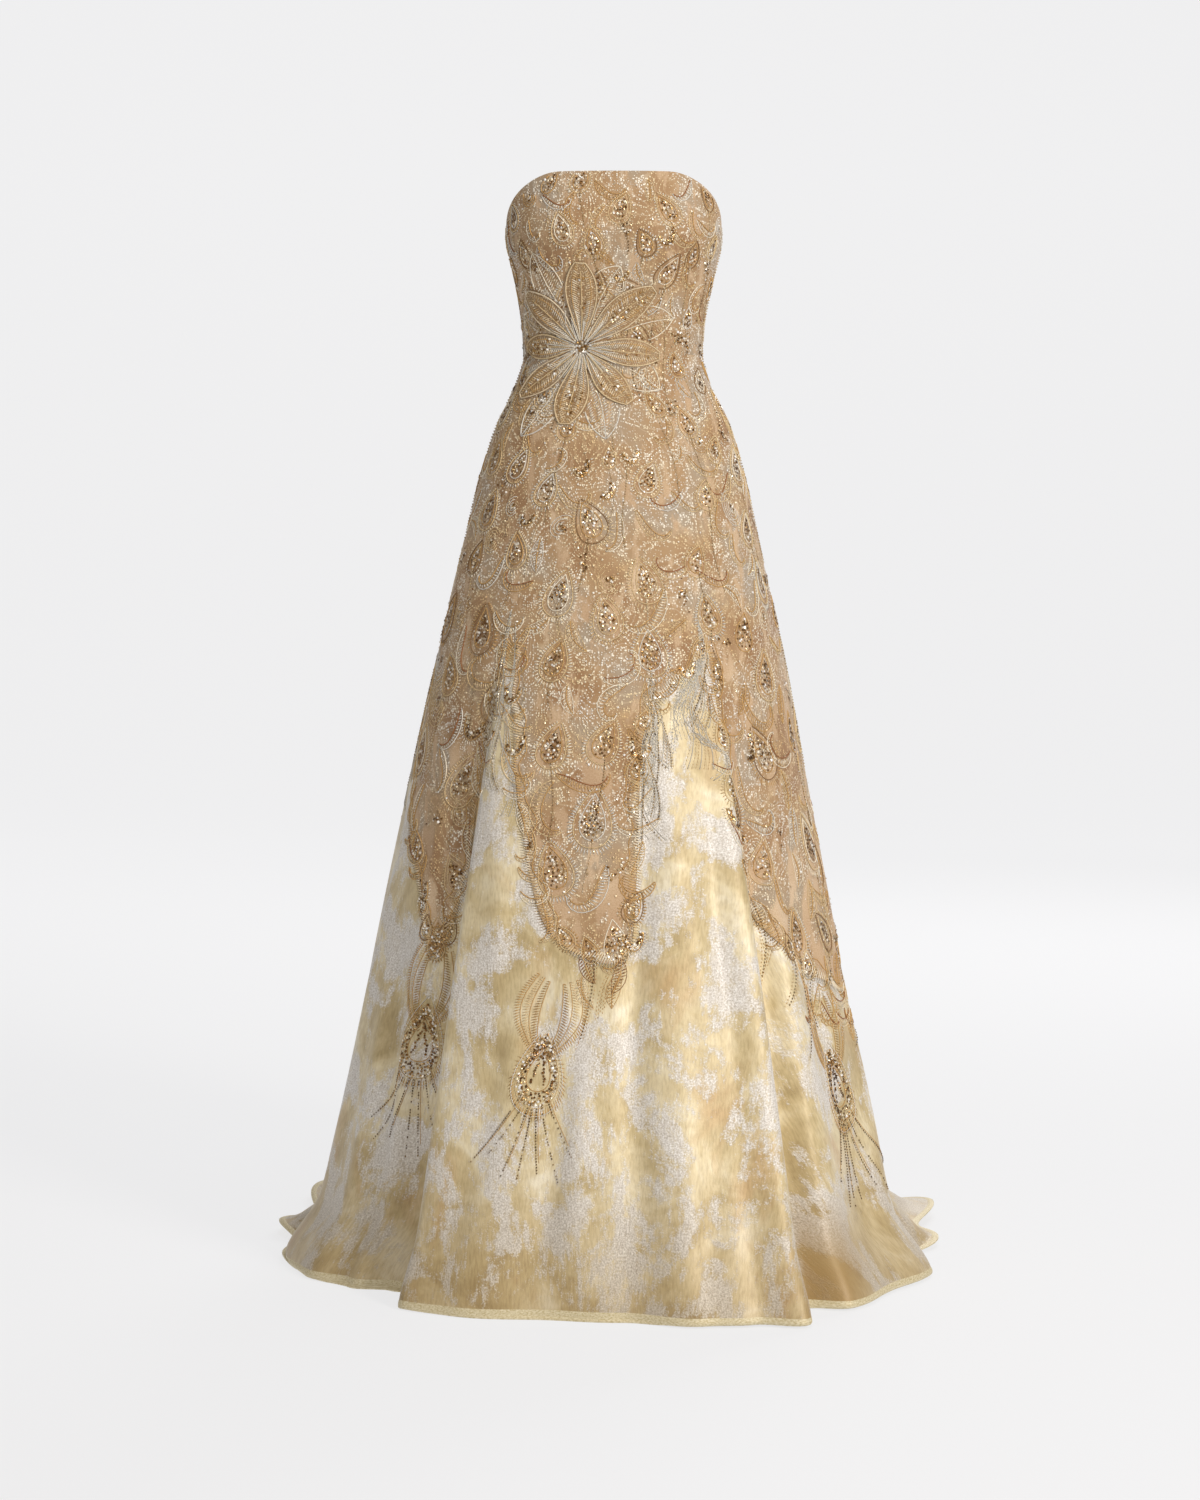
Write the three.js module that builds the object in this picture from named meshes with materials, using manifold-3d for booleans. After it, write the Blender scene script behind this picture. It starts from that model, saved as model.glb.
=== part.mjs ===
// A strapless ball gown with a small train, in the filled-out shape that it has when worn.
// Millimetres, +Z up. The origin is the centre of the waist, where the wearer holds the gown up.
// The front faces -Y, and +X is the wearer's left. Angles are in degrees round the body from the
// centre front towards +X. A "drop" is how far below the waist the cloth would hang with no floor
// under it, so it is negative on the bodice and runs past the floor along the train.
import * as THREE from 'three';
import { mergeVertices } from 'three/addons/utils/BufferGeometryUtils.js';
import Module from 'manifold-3d';

const wasm = await Module();
wasm.setup();

// Driving sizes
const frontTop = 235; // centre front of the top edge above the waist
const waistToFloor = 1205;
const edgeDip = { fall: 100, from: 36, to: 124 }; // the top edge falls away to the lower back
const train = { extra: 230, from: 60, curve: 1.5 }; // cloth that lies on the floor at the back
const floorBend = { least: 1.2, most: 34, fullAt: 60 }; // softness of the turn on to the floor
const trainRipple = { hollow: 45, lift: 0.2, spread: 0.7 };
const bust = { at: 31, above: 150, out: 9, wide: 24, tall: 48 };
const seamGap = 0.3; // at the upright seams
const edgeGap = 0.7; // where one cloth ends on another round the gown
const walls = { bodice: 2.4, net: 1.6, brocade: 1.8, tape: 1.2 };
const hemBand = { tall: 11, edge: 1.6, middle: 2.9 };
const skirtStep = 6.5; // degrees between columns of a panel, at most
const bodiceStep = 8;
const edgeClimb = 130; // climb of the net's edge between columns, at most
const hipRings = [12, 26, 42, 60, 80, 105, 140, 190]; // drops of the rows round the hips
const foldGather = 0.12; // share of a fold's length over which it grows out of the smooth cloth
const leanFull = 300; // drop at which a leaning fold has its whole lean

// Sections of the gown round the waist, from the top edge to the floor line. sway is how far the
// middle of the section stands towards the wearer's left
const sections = [
  { name: 'top edge', drop: -235, half: 140, front: 107, back: 96, square: 2.35, sway: 9 },
  { name: 'bust', drop: -158, half: 143, front: 121, back: 97, square: 2.3, sway: 9 },
  { name: 'under bust', drop: -96, half: 131, front: 107, back: 90, square: 2.2, sway: 9 },
  { name: 'above waist', drop: -40, half: 121, front: 93, back: 83, square: 2.1, sway: 8 },
  { name: 'waist', drop: 0, half: 119, front: 90, back: 82, square: 2.1, sway: 8 },
  { name: 'high hip', drop: 35, half: 128, front: 97, back: 91, square: 2.1, sway: 8 },
  { name: 'hip', drop: 95, half: 156, front: 119, back: 121, square: 2.05, sway: 8 },
  { name: 'low hip', drop: 160, half: 176, front: 141, back: 147, square: 2, sway: 7 },
  { name: 'thigh', drop: 255, half: 198, front: 171, back: 177, square: 2, sway: 6 },
  { name: 'godet peaks', drop: 383, half: 228, front: 212, back: 219, square: 2, sway: 5 },
  { name: 'knee', drop: 576, half: 265, front: 271, back: 282, square: 2, sway: 2 },
  { name: 'net edge', drop: 771, half: 298, front: 328, back: 344, square: 2, sway: 0 },
  { name: 'shin', drop: 1031, half: 338, front: 398, back: 424, square: 2, sway: -1 },
  { name: 'ankle', drop: 1120, half: 358, front: 420, back: 452, square: 2, sway: -1 },
  { name: 'floor line', drop: 1205, half: 408, front: 445, back: 484, square: 2, sway: 0 },
  { name: 'past the floor', drop: 1500, half: 420, front: 457, back: 500, square: 2, sway: 0 },
];

// Crests and hollows round the hem. at is the place at the hem, out how far the hem stands out
// there, starts the drop where the fold begins, and lean how far round it moves higher up
const folds = [
  { name: 'centre back', at: -180, out: -16, starts: 380, lean: 0 },
  { name: 'back right crest', at: -163, out: 30, starts: 430, lean: 0 },
  { name: 'back right hollow', at: -150, out: -30, starts: 460, lean: 0 },
  { name: 'outer back right crest', at: -135, out: 22, starts: 330, lean: 0 },
  { name: 'outer back right hollow', at: -120, out: -44, starts: 420, lean: 0 },
  { name: 'behind right side crest', at: -106, out: 12, starts: 500, lean: 0 },
  { name: 'behind right side hollow', at: -97, out: -8, starts: 460, lean: 0 },
  { name: 'right side crest', at: -86, out: 26, starts: 380, lean: 0 },
  { name: 'right side flat', at: -68, out: 15, starts: 420, lean: 0 },
  { name: 'right recess side', at: -56, out: -20, starts: 380, lean: 0 },
  { name: 'right recess', at: -49, out: -62, starts: 340, lean: 0 },
  { name: 'right hollow', at: -42.5, out: -86, starts: 330, lean: 0 },
  { name: 'right front edge', at: -36.5, out: 8, starts: 330, lean: 0 },
  { name: 'front panel right', at: -27, out: 0, starts: 380, lean: 0 },
  { name: 'front panel middle', at: -9, out: -31, starts: 420, lean: 0 },
  { name: 'front panel trough', at: 2, out: -22, starts: 420, lean: 2 },
  { name: 'front panel left', at: 15, out: 31, starts: 420, lean: 5 },
  { name: 'left front rise', at: 22, out: 46, starts: 380, lean: 7 },
  { name: 'left front edge', at: 28.3, out: 84, starts: 330, lean: 9 },
  { name: 'left front hollow', at: 34.5, out: -8, starts: 350, lean: 8 },
  { name: 'left side start', at: 41, out: 44, starts: 480, lean: 6 },
  { name: 'left side flat', at: 55, out: 27, starts: 480, lean: 2 },
  { name: 'left side crest', at: 70, out: 42, starts: 440, lean: 0 },
  { name: 'left side hollow', at: 82, out: -34, starts: 420, lean: 0 },
  { name: 'left side edge', at: 95, out: 28, starts: 380, lean: 0 },
  { name: 'behind left side hollow', at: 107, out: -18, starts: 470, lean: 0 },
  { name: 'behind left side crest', at: 120, out: 30, starts: 480, lean: 0 },
  { name: 'outer back left hollow', at: 134, out: -40, starts: 400, lean: 0 },
  { name: 'back left crest', at: 149, out: 36, starts: 330, lean: 0 },
  { name: 'back left hollow', at: 164, out: -36, starts: 450, lean: 0 },
];

// Where the net ends on the brocade: tongues of net hang down between pointed brocade peaks. up
// is above the floor line
const netEdge = [
  { name: 'centre back tongue', at: -180, up: 350 },
  { name: 'back right peak', at: -135, up: 800 },
  { name: 'behind right side tongue', at: -106, up: 350 },
  { name: 'right side peak', at: -86, up: 770 },
  { name: 'right side slope', at: -71, up: 592 },
  { name: 'right recess slope', at: -60, up: 520 },
  { name: 'right recess tongue', at: -49, up: 425 },
  { name: 'front right peak', at: -36.5, up: 832 },
  { name: 'front right slope', at: -22, up: 575 },
  { name: 'front right bend', at: -15, up: 478 },
  { name: 'centre front shelf', at: -9, up: 449 },
  { name: 'centre front tongue', at: 0, up: 432 },
  { name: 'centre front corner', at: 4.6, up: 452 },
  { name: 'front left wall', at: 7.4, up: 706 },
  { name: 'front left shoulder', at: 13, up: 760 },
  { name: 'front left peak', at: 28.3, up: 822 },
  { name: 'left ridge', at: 30.5, up: 560 },
  { name: 'left front hollow', at: 34.5, up: 486 },
  { name: 'left side slope', at: 48, up: 416 },
  { name: 'left side low', at: 82, up: 350 },
  { name: 'left side tongue', at: 95, up: 312 },
  { name: 'behind left side peak', at: 113, up: 770 },
  { name: 'back left tongue', at: 134, up: 350 },
  { name: 'back left peak', at: 154, up: 800 },
];

// The applique flower beside the waist. turn is the way a petal points, from straight up
const flower = { at: -26, drop: -8, off: 0.9, thick: 1.6, rim: 0.6, across: 4, along: 7, inner: 12 };
const petals = [
  { name: 'flower_petal_1', turn: 4, long: 98, wide: 38 },
  { name: 'flower_petal_2', turn: 50, long: 106, wide: 42 },
  { name: 'flower_petal_3', turn: 96, long: 94, wide: 38 },
  { name: 'flower_petal_4', turn: 140, long: 84, wide: 36 },
  { name: 'flower_petal_5', turn: 184, long: 90, wide: 38 },
  { name: 'flower_petal_6', turn: 228, long: 82, wide: 36 },
  { name: 'flower_petal_7', turn: 272, long: 66, wide: 34 },
  { name: 'flower_petal_8', turn: 318, long: 86, wide: 38 },
];

// The concealed zip down the centre back
const zip = { below: 4, end: 190, tapeWide: 22, columns: 4, rows: 14 };
const slider = { wide: 5.6, tall: 9, thick: 2, ear: 1, earOut: 3.4, earTall: 3.2, pin: 0.6, lip: 0.5 };
const pull = { eye: 1.6, bore: 1, eyeWide: 2.4, blade: 5.4, neck: 5.2, long: 21, thick: 1.1 };

const radians = THREE.MathUtils.degToRad;
const smooth = THREE.MathUtils.smoothstep;

const wrapAngle = (angle) => ((((angle + 180) % 360) + 360) % 360) - 180;

// A softened max(0, x): the turn from hanging cloth to cloth lying on the floor
const softRamp = (x, softness) =>
  x > 30 * softness ? x : softness * Math.log1p(Math.exp(x / softness));

// Smooth reading of one column of the section table, with no overshoot between rows
function sectionValue(column, drop) {
  const last = sections.length - 1;
  const reach = THREE.MathUtils.clamp(drop, sections[0].drop, sections[last].drop);
  let i = 0;
  while (i < last - 1 && sections[i + 1].drop < reach) i++;
  const slope = (k) => {
    const [here, next] = [sections[k], sections[k + 1]];
    return (next[column] - here[column]) / (next.drop - here.drop);
  };
  const tangent = (k) => {
    if (k === 0) return slope(0);
    if (k === last) return slope(last - 1);
    const before = slope(k - 1);
    const after = slope(k);
    return before * after <= 0 ? 0 : (2 * before * after) / (before + after);
  };
  const step = sections[i + 1].drop - sections[i].drop;
  const t = (reach - sections[i].drop) / step;
  const h = 1 - t;
  return (
    sections[i][column] * (1 + 2 * t) * h * h +
    tangent(i) * step * t * h * h +
    sections[i + 1][column] * (3 - 2 * t) * t * t -
    tangent(i + 1) * step * t * t * h
  );
}

function sectionRadius(angle, drop) {
  const sine = Math.abs(Math.sin(radians(angle)));
  const cosine = Math.cos(radians(angle));
  const deep = sectionValue(cosine > 0 ? 'front' : 'back', drop);
  const square = sectionValue('square', drop);
  const x = (sine / sectionValue('half', drop)) ** square;
  const y = (Math.abs(cosine) / deep) ** square;
  return (x + y) ** (-1 / square);
}

function bustOut(angle, drop) {
  const round = (Math.abs(wrapAngle(angle)) - bust.at) / bust.wide;
  const up = (drop + bust.above) / bust.tall;
  return bust.out * Math.exp(-round * round - up * up);
}

// The two table rows on either side of an angle, and how far it is from the first to the second
function between(table, angle) {
  const around = wrapAngle(angle);
  let next = table.findIndex((row) => row.at > around);
  if (next < 0) next = table.length;
  const left = table[next - 1];
  const right = table[next % table.length];
  const span = right.at + (next === table.length ? 360 : 0) - left.at;
  return { left, right, share: (around - left.at) / span };
}

// How far a fold stands out at a drop: nothing above its start, and all of it at the floor
function foldGrowth(fold, drop) {
  const along = Math.max(0, (drop - fold.starts) / (waistToFloor - fold.starts));
  const grown = (x) => x - foldGather * (1 - Math.exp(-x / foldGather));
  return Math.min(grown(along) / grown(1), 1.1);
}

function foldOut(angle, drop) {
  const { left, right, share } = between(folds, angle);
  const ease = (1 - Math.cos(Math.PI * share)) / 2;
  return left.out * foldGrowth(left, drop) * (1 - ease) + right.out * foldGrowth(right, drop) * ease;
}

// A place at the hem, followed up its fold
function leaned(angle, drop) {
  const { left, right, share } = between(folds, angle);
  const rest = 1 - THREE.MathUtils.clamp(drop / waistToFloor, 0, 1);
  return angle + THREE.MathUtils.lerp(left.lean, right.lean, share) * rest * smooth(drop, 0, leanFull);
}

function trainExtra(angle) {
  return train.extra * smooth(Math.abs(wrapAngle(angle)), train.from, 180) ** train.curve;
}

// The outer face of the cloth
function clothPoint(angle, drop) {
  const extra = trainExtra(angle);
  const spread = smooth(extra, 0, floorBend.fullAt);
  const softness = THREE.MathUtils.lerp(floorBend.least, floorBend.most, spread);
  const above = waistToFloor - drop;
  const hanging = 1 / (1 + Math.exp(-above / softness));
  const fold = foldOut(angle, drop);
  const ripple = Math.max(0, fold + trainRipple.hollow) * trainRipple.lift * (1 - hanging);
  const around = leaned(angle, drop);
  const radius =
    sectionRadius(around, drop) +
    bustOut(around, drop) +
    fold * (hanging + trainRipple.spread * (1 - hanging)) +
    softRamp(-above, softness);
  const raised = walls.brocade * smooth(extra, 0, 20) + ripple * smooth(extra, 0, 40);
  const z = raised - waistToFloor + softRamp(above, softness);
  const x = sectionValue('sway', drop) + radius * Math.sin(radians(around));
  return new THREE.Vector3(x, -radius * Math.cos(radians(around)), z);
}

function clothNormal(angle, drop) {
  const turn = 0.4;
  const fall = 1;
  const round = clothPoint(angle + turn, drop).sub(clothPoint(angle - turn, drop));
  const down = clothPoint(angle, drop + fall).sub(clothPoint(angle, drop - fall));
  return down.cross(round).normalize();
}

const topDrop = (angle) =>
  edgeDip.fall * smooth(Math.abs(wrapAngle(angle)), edgeDip.from, edgeDip.to) - frontTop;
const waistDrop = () => 0;
const hemDrop = (angle) => waistToFloor + trainExtra(angle);
const bandDrop = (angle) => hemDrop(angle) - hemBand.tall;

// The drop of the net's edge: level at the foot of a tongue, and pointed at a peak
function netDrop(angle) {
  const { left, right, share } = between(netEdge, angle);
  const count = netEdge.length;
  const climb = (k) => {
    const here = netEdge[(k + count) % count];
    const next = netEdge[(k + 1 + count) % count];
    return (next.up - here.up) / ((next.at - here.at + 360) % 360);
  };
  const tangent = (k, own) => {
    const before = climb(k - 1);
    const after = climb(k);
    if (before > 0 && after < 0) return own;
    return before * after <= 0 ? 0 : (2 * before * after) / (before + after);
  };
  const first = netEdge.indexOf(left);
  const step = (right.at - left.at + 360) % 360;
  const start = tangent(first, climb(first)) * step;
  const end = tangent(first + 1, climb(first)) * step;
  const h = 1 - share;
  const up =
    left.up * (1 + 2 * share) * h * h +
    start * share * h * h +
    right.up * (3 - 2 * share) * share * share -
    end * share * share * h;
  return waistToFloor - up;
}

// Moves an edge along the cloth so that the seam stays open by the gap, however steep the edge is
function edgeShift(edge, angle) {
  const turn = 2.5;
  const length = radians(turn) * sectionRadius(angle, edge(angle));
  const before = (edge(angle) - edge(angle - turn)) / length;
  const after = (edge(angle + turn) - edge(angle)) / length;
  return (edgeGap / 2) * Math.sqrt(1 + Math.max(before * before, after * after));
}

// Columns between two seams, with one at each mark between them, and closer together where an
// edge is steep
function columnAngles(from, to, step, marks = [], edge = waistDrop) {
  const stops = [from, ...marks.filter((mark) => mark > from && mark < to), to];
  const angles = [];
  for (let k = 0; k + 1 < stops.length; k++) {
    const span = stops[k + 1] - stops[k];
    const climb = Math.abs(edge(stops[k + 1]) - edge(stops[k]));
    const parts = Math.max(1, Math.ceil(span / step), Math.ceil(climb / edgeClimb));
    for (let i = 0; i < parts; i++) angles.push(stops[k] + (span * i) / parts);
  }
  return [...angles, to];
}

// A closed wall between two grids of points, columns first: the outer face and the inner face
function wallGeometry(outer, inner) {
  const columns = outer.length;
  const rows = outer[0].length;
  const points = [...outer.flat(), ...inner.flat()];
  const shift = columns * rows;
  const index = [];
  const quad = (a, b, c, d) => index.push(a, d, c, a, c, b);
  const at = (i, j) => i * rows + j;
  for (let i = 0; i + 1 < columns; i++) {
    for (let j = 0; j + 1 < rows; j++) {
      // Both faces are split on the same diagonal, so that they stay a wall apart on a twisted cell
      const [a, b, c, d] = [at(i, j), at(i + 1, j), at(i + 1, j + 1), at(i, j + 1)];
      quad(a, b, c, d);
      quad(shift + a, shift + d, shift + c, shift + b);
    }
    quad(shift + at(i, 0), shift + at(i + 1, 0), at(i + 1, 0), at(i, 0));
    const foot = rows - 1;
    quad(at(i, foot), at(i + 1, foot), shift + at(i + 1, foot), shift + at(i, foot));
  }
  for (let j = 0; j + 1 < rows; j++) {
    const far = columns - 1;
    quad(shift + at(0, j), at(0, j), at(0, j + 1), shift + at(0, j + 1));
    quad(at(far, j), shift + at(far, j), shift + at(far, j + 1), at(far, j + 1));
  }
  const geometry = new THREE.BufferGeometry().setFromPoints(points);
  geometry.setIndex(index);
  geometry.computeVertexNormals();
  return geometry;
}

// A cloth panel on a run of columns, between two edges down the gown. wall is its thickness,
// which can change down the panel, and sunk is how far its outer face lies under the cloth's.
// rings are drops that every column shares, above the rows that are spread evenly to the edge
function panelGeometry({ angles, top, bottom, rows, wall, sunk = 0, crowd = 1, rings = [] }) {
  const face = (depth) =>
    angles.map((angle, i) => {
      const start = top(angle) + edgeShift(top, angle);
      const end = bottom(angle) - edgeShift(bottom, angle);
      const side = i === 0 ? 1 : i === angles.length - 1 ? -1 : 0;
      const shared = [start, ...rings];
      const last = shared.length - 1;
      return Array.from({ length: last + rows + 1 }, (_, j) => {
        const share = (Math.max(0, j - last) / rows) ** crowd;
        const drop = j < last ? shared[j] : THREE.MathUtils.lerp(shared[last], end, share);
        const turn = THREE.MathUtils.radToDeg((side * seamGap) / 2 / sectionRadius(angle, drop));
        const normal = clothNormal(angle + turn, drop);
        return clothPoint(angle + turn, drop).addScaledVector(normal, -depth(share));
      });
    });
  const thickness = typeof wall === 'function' ? wall : () => wall;
  const swell = (share) => (thickness(share) - thickness(0)) / 2;
  return wallGeometry(
    face((share) => sunk - swell(share)),
    face((share) => sunk + thickness(share) - swell(share)),
  );
}

// A petal laid on the cloth: its outline is set out flat, then wrapped on to the cloth's face
function petalGeometry({ turn, long, wide }) {
  const direction = radians(turn);
  const face = (height) =>
    Array.from({ length: flower.across + 1 }, (_, i) => {
      const side = (2 * i) / flower.across - 1;
      return Array.from({ length: flower.along + 1 }, (_, j) => {
        const share = j / flower.along;
        const width = (wide / 2) * Math.sin(Math.PI * (0.96 - 0.9 * share) ** 1.3) ** 0.8;
        const out = flower.inner + long * (1 - share);
        const x = Math.sin(direction) * out + Math.cos(direction) * side * width;
        const y = Math.cos(direction) * out - Math.sin(direction) * side * width;
        const drop = flower.drop - y;
        const angle = flower.at + THREE.MathUtils.radToDeg(x / sectionRadius(flower.at, flower.drop));
        return clothPoint(angle, drop).addScaledVector(clothNormal(angle, drop), height(side, share));
      });
    });
  const crown = (side, share) => (1 - side ** 4) * Math.sin(Math.PI * share) ** 0.4;
  const swell = (side, share) =>
    flower.off + flower.rim + (flower.thick - flower.rim) * crown(side, share);
  return wallGeometry(face(swell), face(() => flower.off));
}

function toSolid(geometry) {
  const bare = geometry.clone();
  for (const name of Object.keys(bare.attributes)) if (name !== 'position') bare.deleteAttribute(name);
  const merged = mergeVertices(bare, 1e-4);
  const triVerts = merged.index.array;
  return new wasm.Manifold(
    new wasm.Mesh({ numProp: 3, vertProperties: merged.attributes.position.array, triVerts }),
  );
}

function fromSolid(solid) {
  const { vertProperties, triVerts } = solid.getMesh();
  const geometry = new THREE.BufferGeometry();
  geometry.setAttribute('position', new THREE.BufferAttribute(vertProperties, 3));
  geometry.setIndex(new THREE.BufferAttribute(triVerts, 1));
  geometry.computeVertexNormals();
  return geometry;
}

const joined = (...pieces) => fromSolid(pieces.map(toSolid).reduce((all, piece) => all.add(piece)));

// The slider: a flat body with two ears and the pin that the pull hangs on. Its own origin is the
// middle of the pin, with the cloth towards -Y
function sliderGeometry() {
  const body = new THREE.BoxGeometry(slider.wide, slider.thick, slider.tall);
  body.translate(0, -slider.earOut, pull.eye - slider.tall / 2);
  const ear = (side) => {
    const reach = slider.earOut + slider.pin + slider.lip;
    const plate = new THREE.BoxGeometry(slider.ear, reach, slider.earTall);
    return plate.translate(side * (slider.wide - slider.ear) / 2, slider.pin + slider.lip - reach / 2, 0);
  };
  const pin = new THREE.CylinderGeometry(slider.pin, slider.pin, slider.wide - slider.ear, 12);
  pin.rotateZ(Math.PI / 2);
  return joined(body, ear(-1), ear(1), pin);
}

// The pull: an eye round the pin and a drop-shaped blade hanging from it
function pullGeometry() {
  const ring = new THREE.Shape().absarc(0, 0, pull.eye, 0, 2 * Math.PI);
  ring.holes.push(new THREE.Path().absarc(0, 0, pull.bore, 0, 2 * Math.PI, true));
  const plain = { bevelEnabled: false, curveSegments: 10 };
  const eye = new THREE.ExtrudeGeometry(ring, { ...plain, depth: pull.eyeWide });
  eye.translate(0, 0, -pull.eyeWide / 2).rotateY(Math.PI / 2);
  const start = -(pull.bore + pull.eye) / 2;
  const neck = pull.eyeWide / 2;
  const round = pull.blade / 2;
  const tip = round - pull.long;
  const waist = -pull.neck;
  const flare = -pull.long * 0.55;
  const outline = new THREE.Shape();
  outline.moveTo(-neck, start);
  outline.bezierCurveTo(-neck, waist, -round, flare, -round, tip);
  outline.absarc(0, tip, round, Math.PI, 2 * Math.PI);
  outline.bezierCurveTo(round, flare, neck, waist, neck, start);
  const blade = new THREE.ExtrudeGeometry(outline, { ...plain, depth: pull.thick });
  blade.translate(0, 0, -pull.thick / 2).rotateX(Math.PI / 2);
  return joined(eye, blade);
}

const finishes = {
  net: new THREE.MeshStandardMaterial({ color: 0xc9ae88, roughness: 0.7, metalness: 0.05 }),
  petal: new THREE.MeshStandardMaterial({ color: 0xb8a890, roughness: 0.55, metalness: 0.2 }),
  brocade: new THREE.MeshStandardMaterial({ color: 0xd3c08c, roughness: 0.42, metalness: 0.4 }),
  binding: new THREE.MeshStandardMaterial({ color: 0xc0a566, roughness: 0.4, metalness: 0.4 }),
  tape: new THREE.MeshStandardMaterial({ color: 0xc2a57e, roughness: 0.85, metalness: 0 }),
  metal: new THREE.MeshStandardMaterial({ color: 0xb99a5b, roughness: 0.3, metalness: 0.9 }),
};

const gown = new THREE.Group();

function add(name, geometry, finish, place = new THREE.Vector3()) {
  const mesh = new THREE.Mesh(geometry, finishes[finish]);
  mesh.name = name;
  mesh.position.copy(place);
  gown.add(mesh);
  return mesh;
}

// Bodice: one front and two backs, with the zip between the backs
const bodice = { top: topDrop, bottom: waistDrop, rows: 13, wall: walls.bodice };
const bodiceRun = (from, to) => ({ ...bodice, angles: columnAngles(from, to, bodiceStep) });
add('bodice_front', panelGeometry(bodiceRun(-84, 84)), 'net');
add('bodice_back_left', panelGeometry(bodiceRun(84, 180)), 'net');
add('bodice_back_right', panelGeometry(bodiceRun(-180, -84)), 'net');

// Every skirt panel uses the same columns, so that the seams between them match
const marks = [...new Set([...folds, ...netEdge].map((row) => row.at))].sort((a, b) => a - b);
const skirtColumns = columnAngles(-180, 180, skirtStep, marks, netDrop);
const run = (from, to) => skirtColumns.filter((angle) => angle >= from && angle <= to);
const seams = { right: -86, left: 95 };
const goreSeams = { backRight: -106, right: -42.5, left: 34.5, backLeft: 134 };

// Net skirt: one front and two backs, ending in tongues between the brocade peaks
const net = { top: waistDrop, bottom: netDrop, rows: 5, wall: walls.net, rings: hipRings };
add('skirt_net_front', panelGeometry({ ...net, angles: run(seams.right, seams.left) }), 'net');
add('skirt_net_back_left', panelGeometry({ ...net, angles: run(seams.left, 180) }), 'net');
add('skirt_net_back_right', panelGeometry({ ...net, angles: run(-180, seams.right) }), 'net');

// Brocade skirt: gores that are seamed in the hollows
const gore = { top: netDrop, bottom: bandDrop, rows: 7, wall: walls.brocade, crowd: 0.62 };
const addGore = (name, from, to) => add(name, panelGeometry({ ...gore, angles: run(from, to) }), 'brocade');
addGore('brocade_front', goreSeams.right, goreSeams.left);
addGore('brocade_side_left', goreSeams.left, goreSeams.backLeft);
addGore('brocade_side_right', goreSeams.backRight, goreSeams.right);
addGore('brocade_back_left', goreSeams.backLeft, 180);
addGore('brocade_back_right', -180, goreSeams.backRight);

// Hem binding, joined at the sides and the centre back
const bandWall = (share) =>
  THREE.MathUtils.lerp(hemBand.edge, hemBand.middle, Math.sin(Math.PI * share));
const band = { top: bandDrop, bottom: hemDrop, rows: 2, wall: bandWall };
const addBand = (name, from, to) => add(name, panelGeometry({ ...band, angles: run(from, to) }), 'binding');
addBand('hem_binding_front', seams.right, seams.left);
addBand('hem_binding_back_left', seams.left, 180);
addBand('hem_binding_back_right', -180, seams.right);

for (const petal of petals) add(petal.name, petalGeometry(petal), 'petal');

// Zip tape inside the centre back seam, with the slider and its pull outside at the top
const tapeTurn = THREE.MathUtils.radToDeg(zip.tapeWide / 2 / sectionRadius(180, 0));
add(
  'zip_tape',
  panelGeometry({
    angles: columnAngles(180 - tapeTurn, 180 + tapeTurn, (2 * tapeTurn) / zip.columns),
    top: (angle) => topDrop(angle) + zip.below,
    bottom: () => zip.end,
    rows: zip.rows,
    wall: walls.tape,
    sunk: walls.bodice + 2 * seamGap,
  }),
  'tape',
);
const pinPlace = clothPoint(180, topDrop(180) + zip.below);
pinPlace.y += slider.earOut + slider.thick / 2 + seamGap;
pinPlace.z -= pull.eye;
add('zip_slider', sliderGeometry(), 'metal', pinPlace);
add('zip_pull', pullGeometry(), 'metal', pinPlace);

export default gown;
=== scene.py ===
import math
import bpy
import numpy as np
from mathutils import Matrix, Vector


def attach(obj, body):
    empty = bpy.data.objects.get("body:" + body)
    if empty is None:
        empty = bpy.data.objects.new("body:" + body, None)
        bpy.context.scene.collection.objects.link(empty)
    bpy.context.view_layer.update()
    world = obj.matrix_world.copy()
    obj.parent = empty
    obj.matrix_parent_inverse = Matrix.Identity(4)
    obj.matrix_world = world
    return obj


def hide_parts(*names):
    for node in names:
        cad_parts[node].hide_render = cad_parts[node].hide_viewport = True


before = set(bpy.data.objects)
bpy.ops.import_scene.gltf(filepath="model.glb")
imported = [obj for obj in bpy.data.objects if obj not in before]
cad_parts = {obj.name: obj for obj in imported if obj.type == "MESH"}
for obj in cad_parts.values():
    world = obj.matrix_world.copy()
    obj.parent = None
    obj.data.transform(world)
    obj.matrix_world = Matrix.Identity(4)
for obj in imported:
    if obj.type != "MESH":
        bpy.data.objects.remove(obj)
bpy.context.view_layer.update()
bpy.ops.object.select_all(action="DESELECT")
print("frame loaded")

# Millimetres until a mesh is made. The waist centre is the origin, the front faces -Y and +X is the
# wearer's left. An angle goes round from the centre front towards +X, and a drop is how far below
# the waist the cloth would hang if there were no floor.

# Camera, stage and light

stage = {
    "cameraPlace": (-0.0094, -4.8, -0.205),
    "cameraPitch": 3.816,  # degrees down
    "lens": 86.118,
    "floor": -1.2062,
    "backWall": 8.2,
    "half": 12.0,
    "bend": 2.2,
    "pool": "DCDCDD",
    "poolFar": "E5E5E6",
}


def linear(hexColour):
    # sRGB hex to the linear colour that Blender works in
    parts = [int(hexColour[k:k + 2], 16) / 255 for k in (0, 2, 4)]
    return tuple(c / 12.92 if c <= 0.04045 else ((c + 0.055) / 1.055) ** 2.4 for c in parts) + (1.0,)


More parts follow.
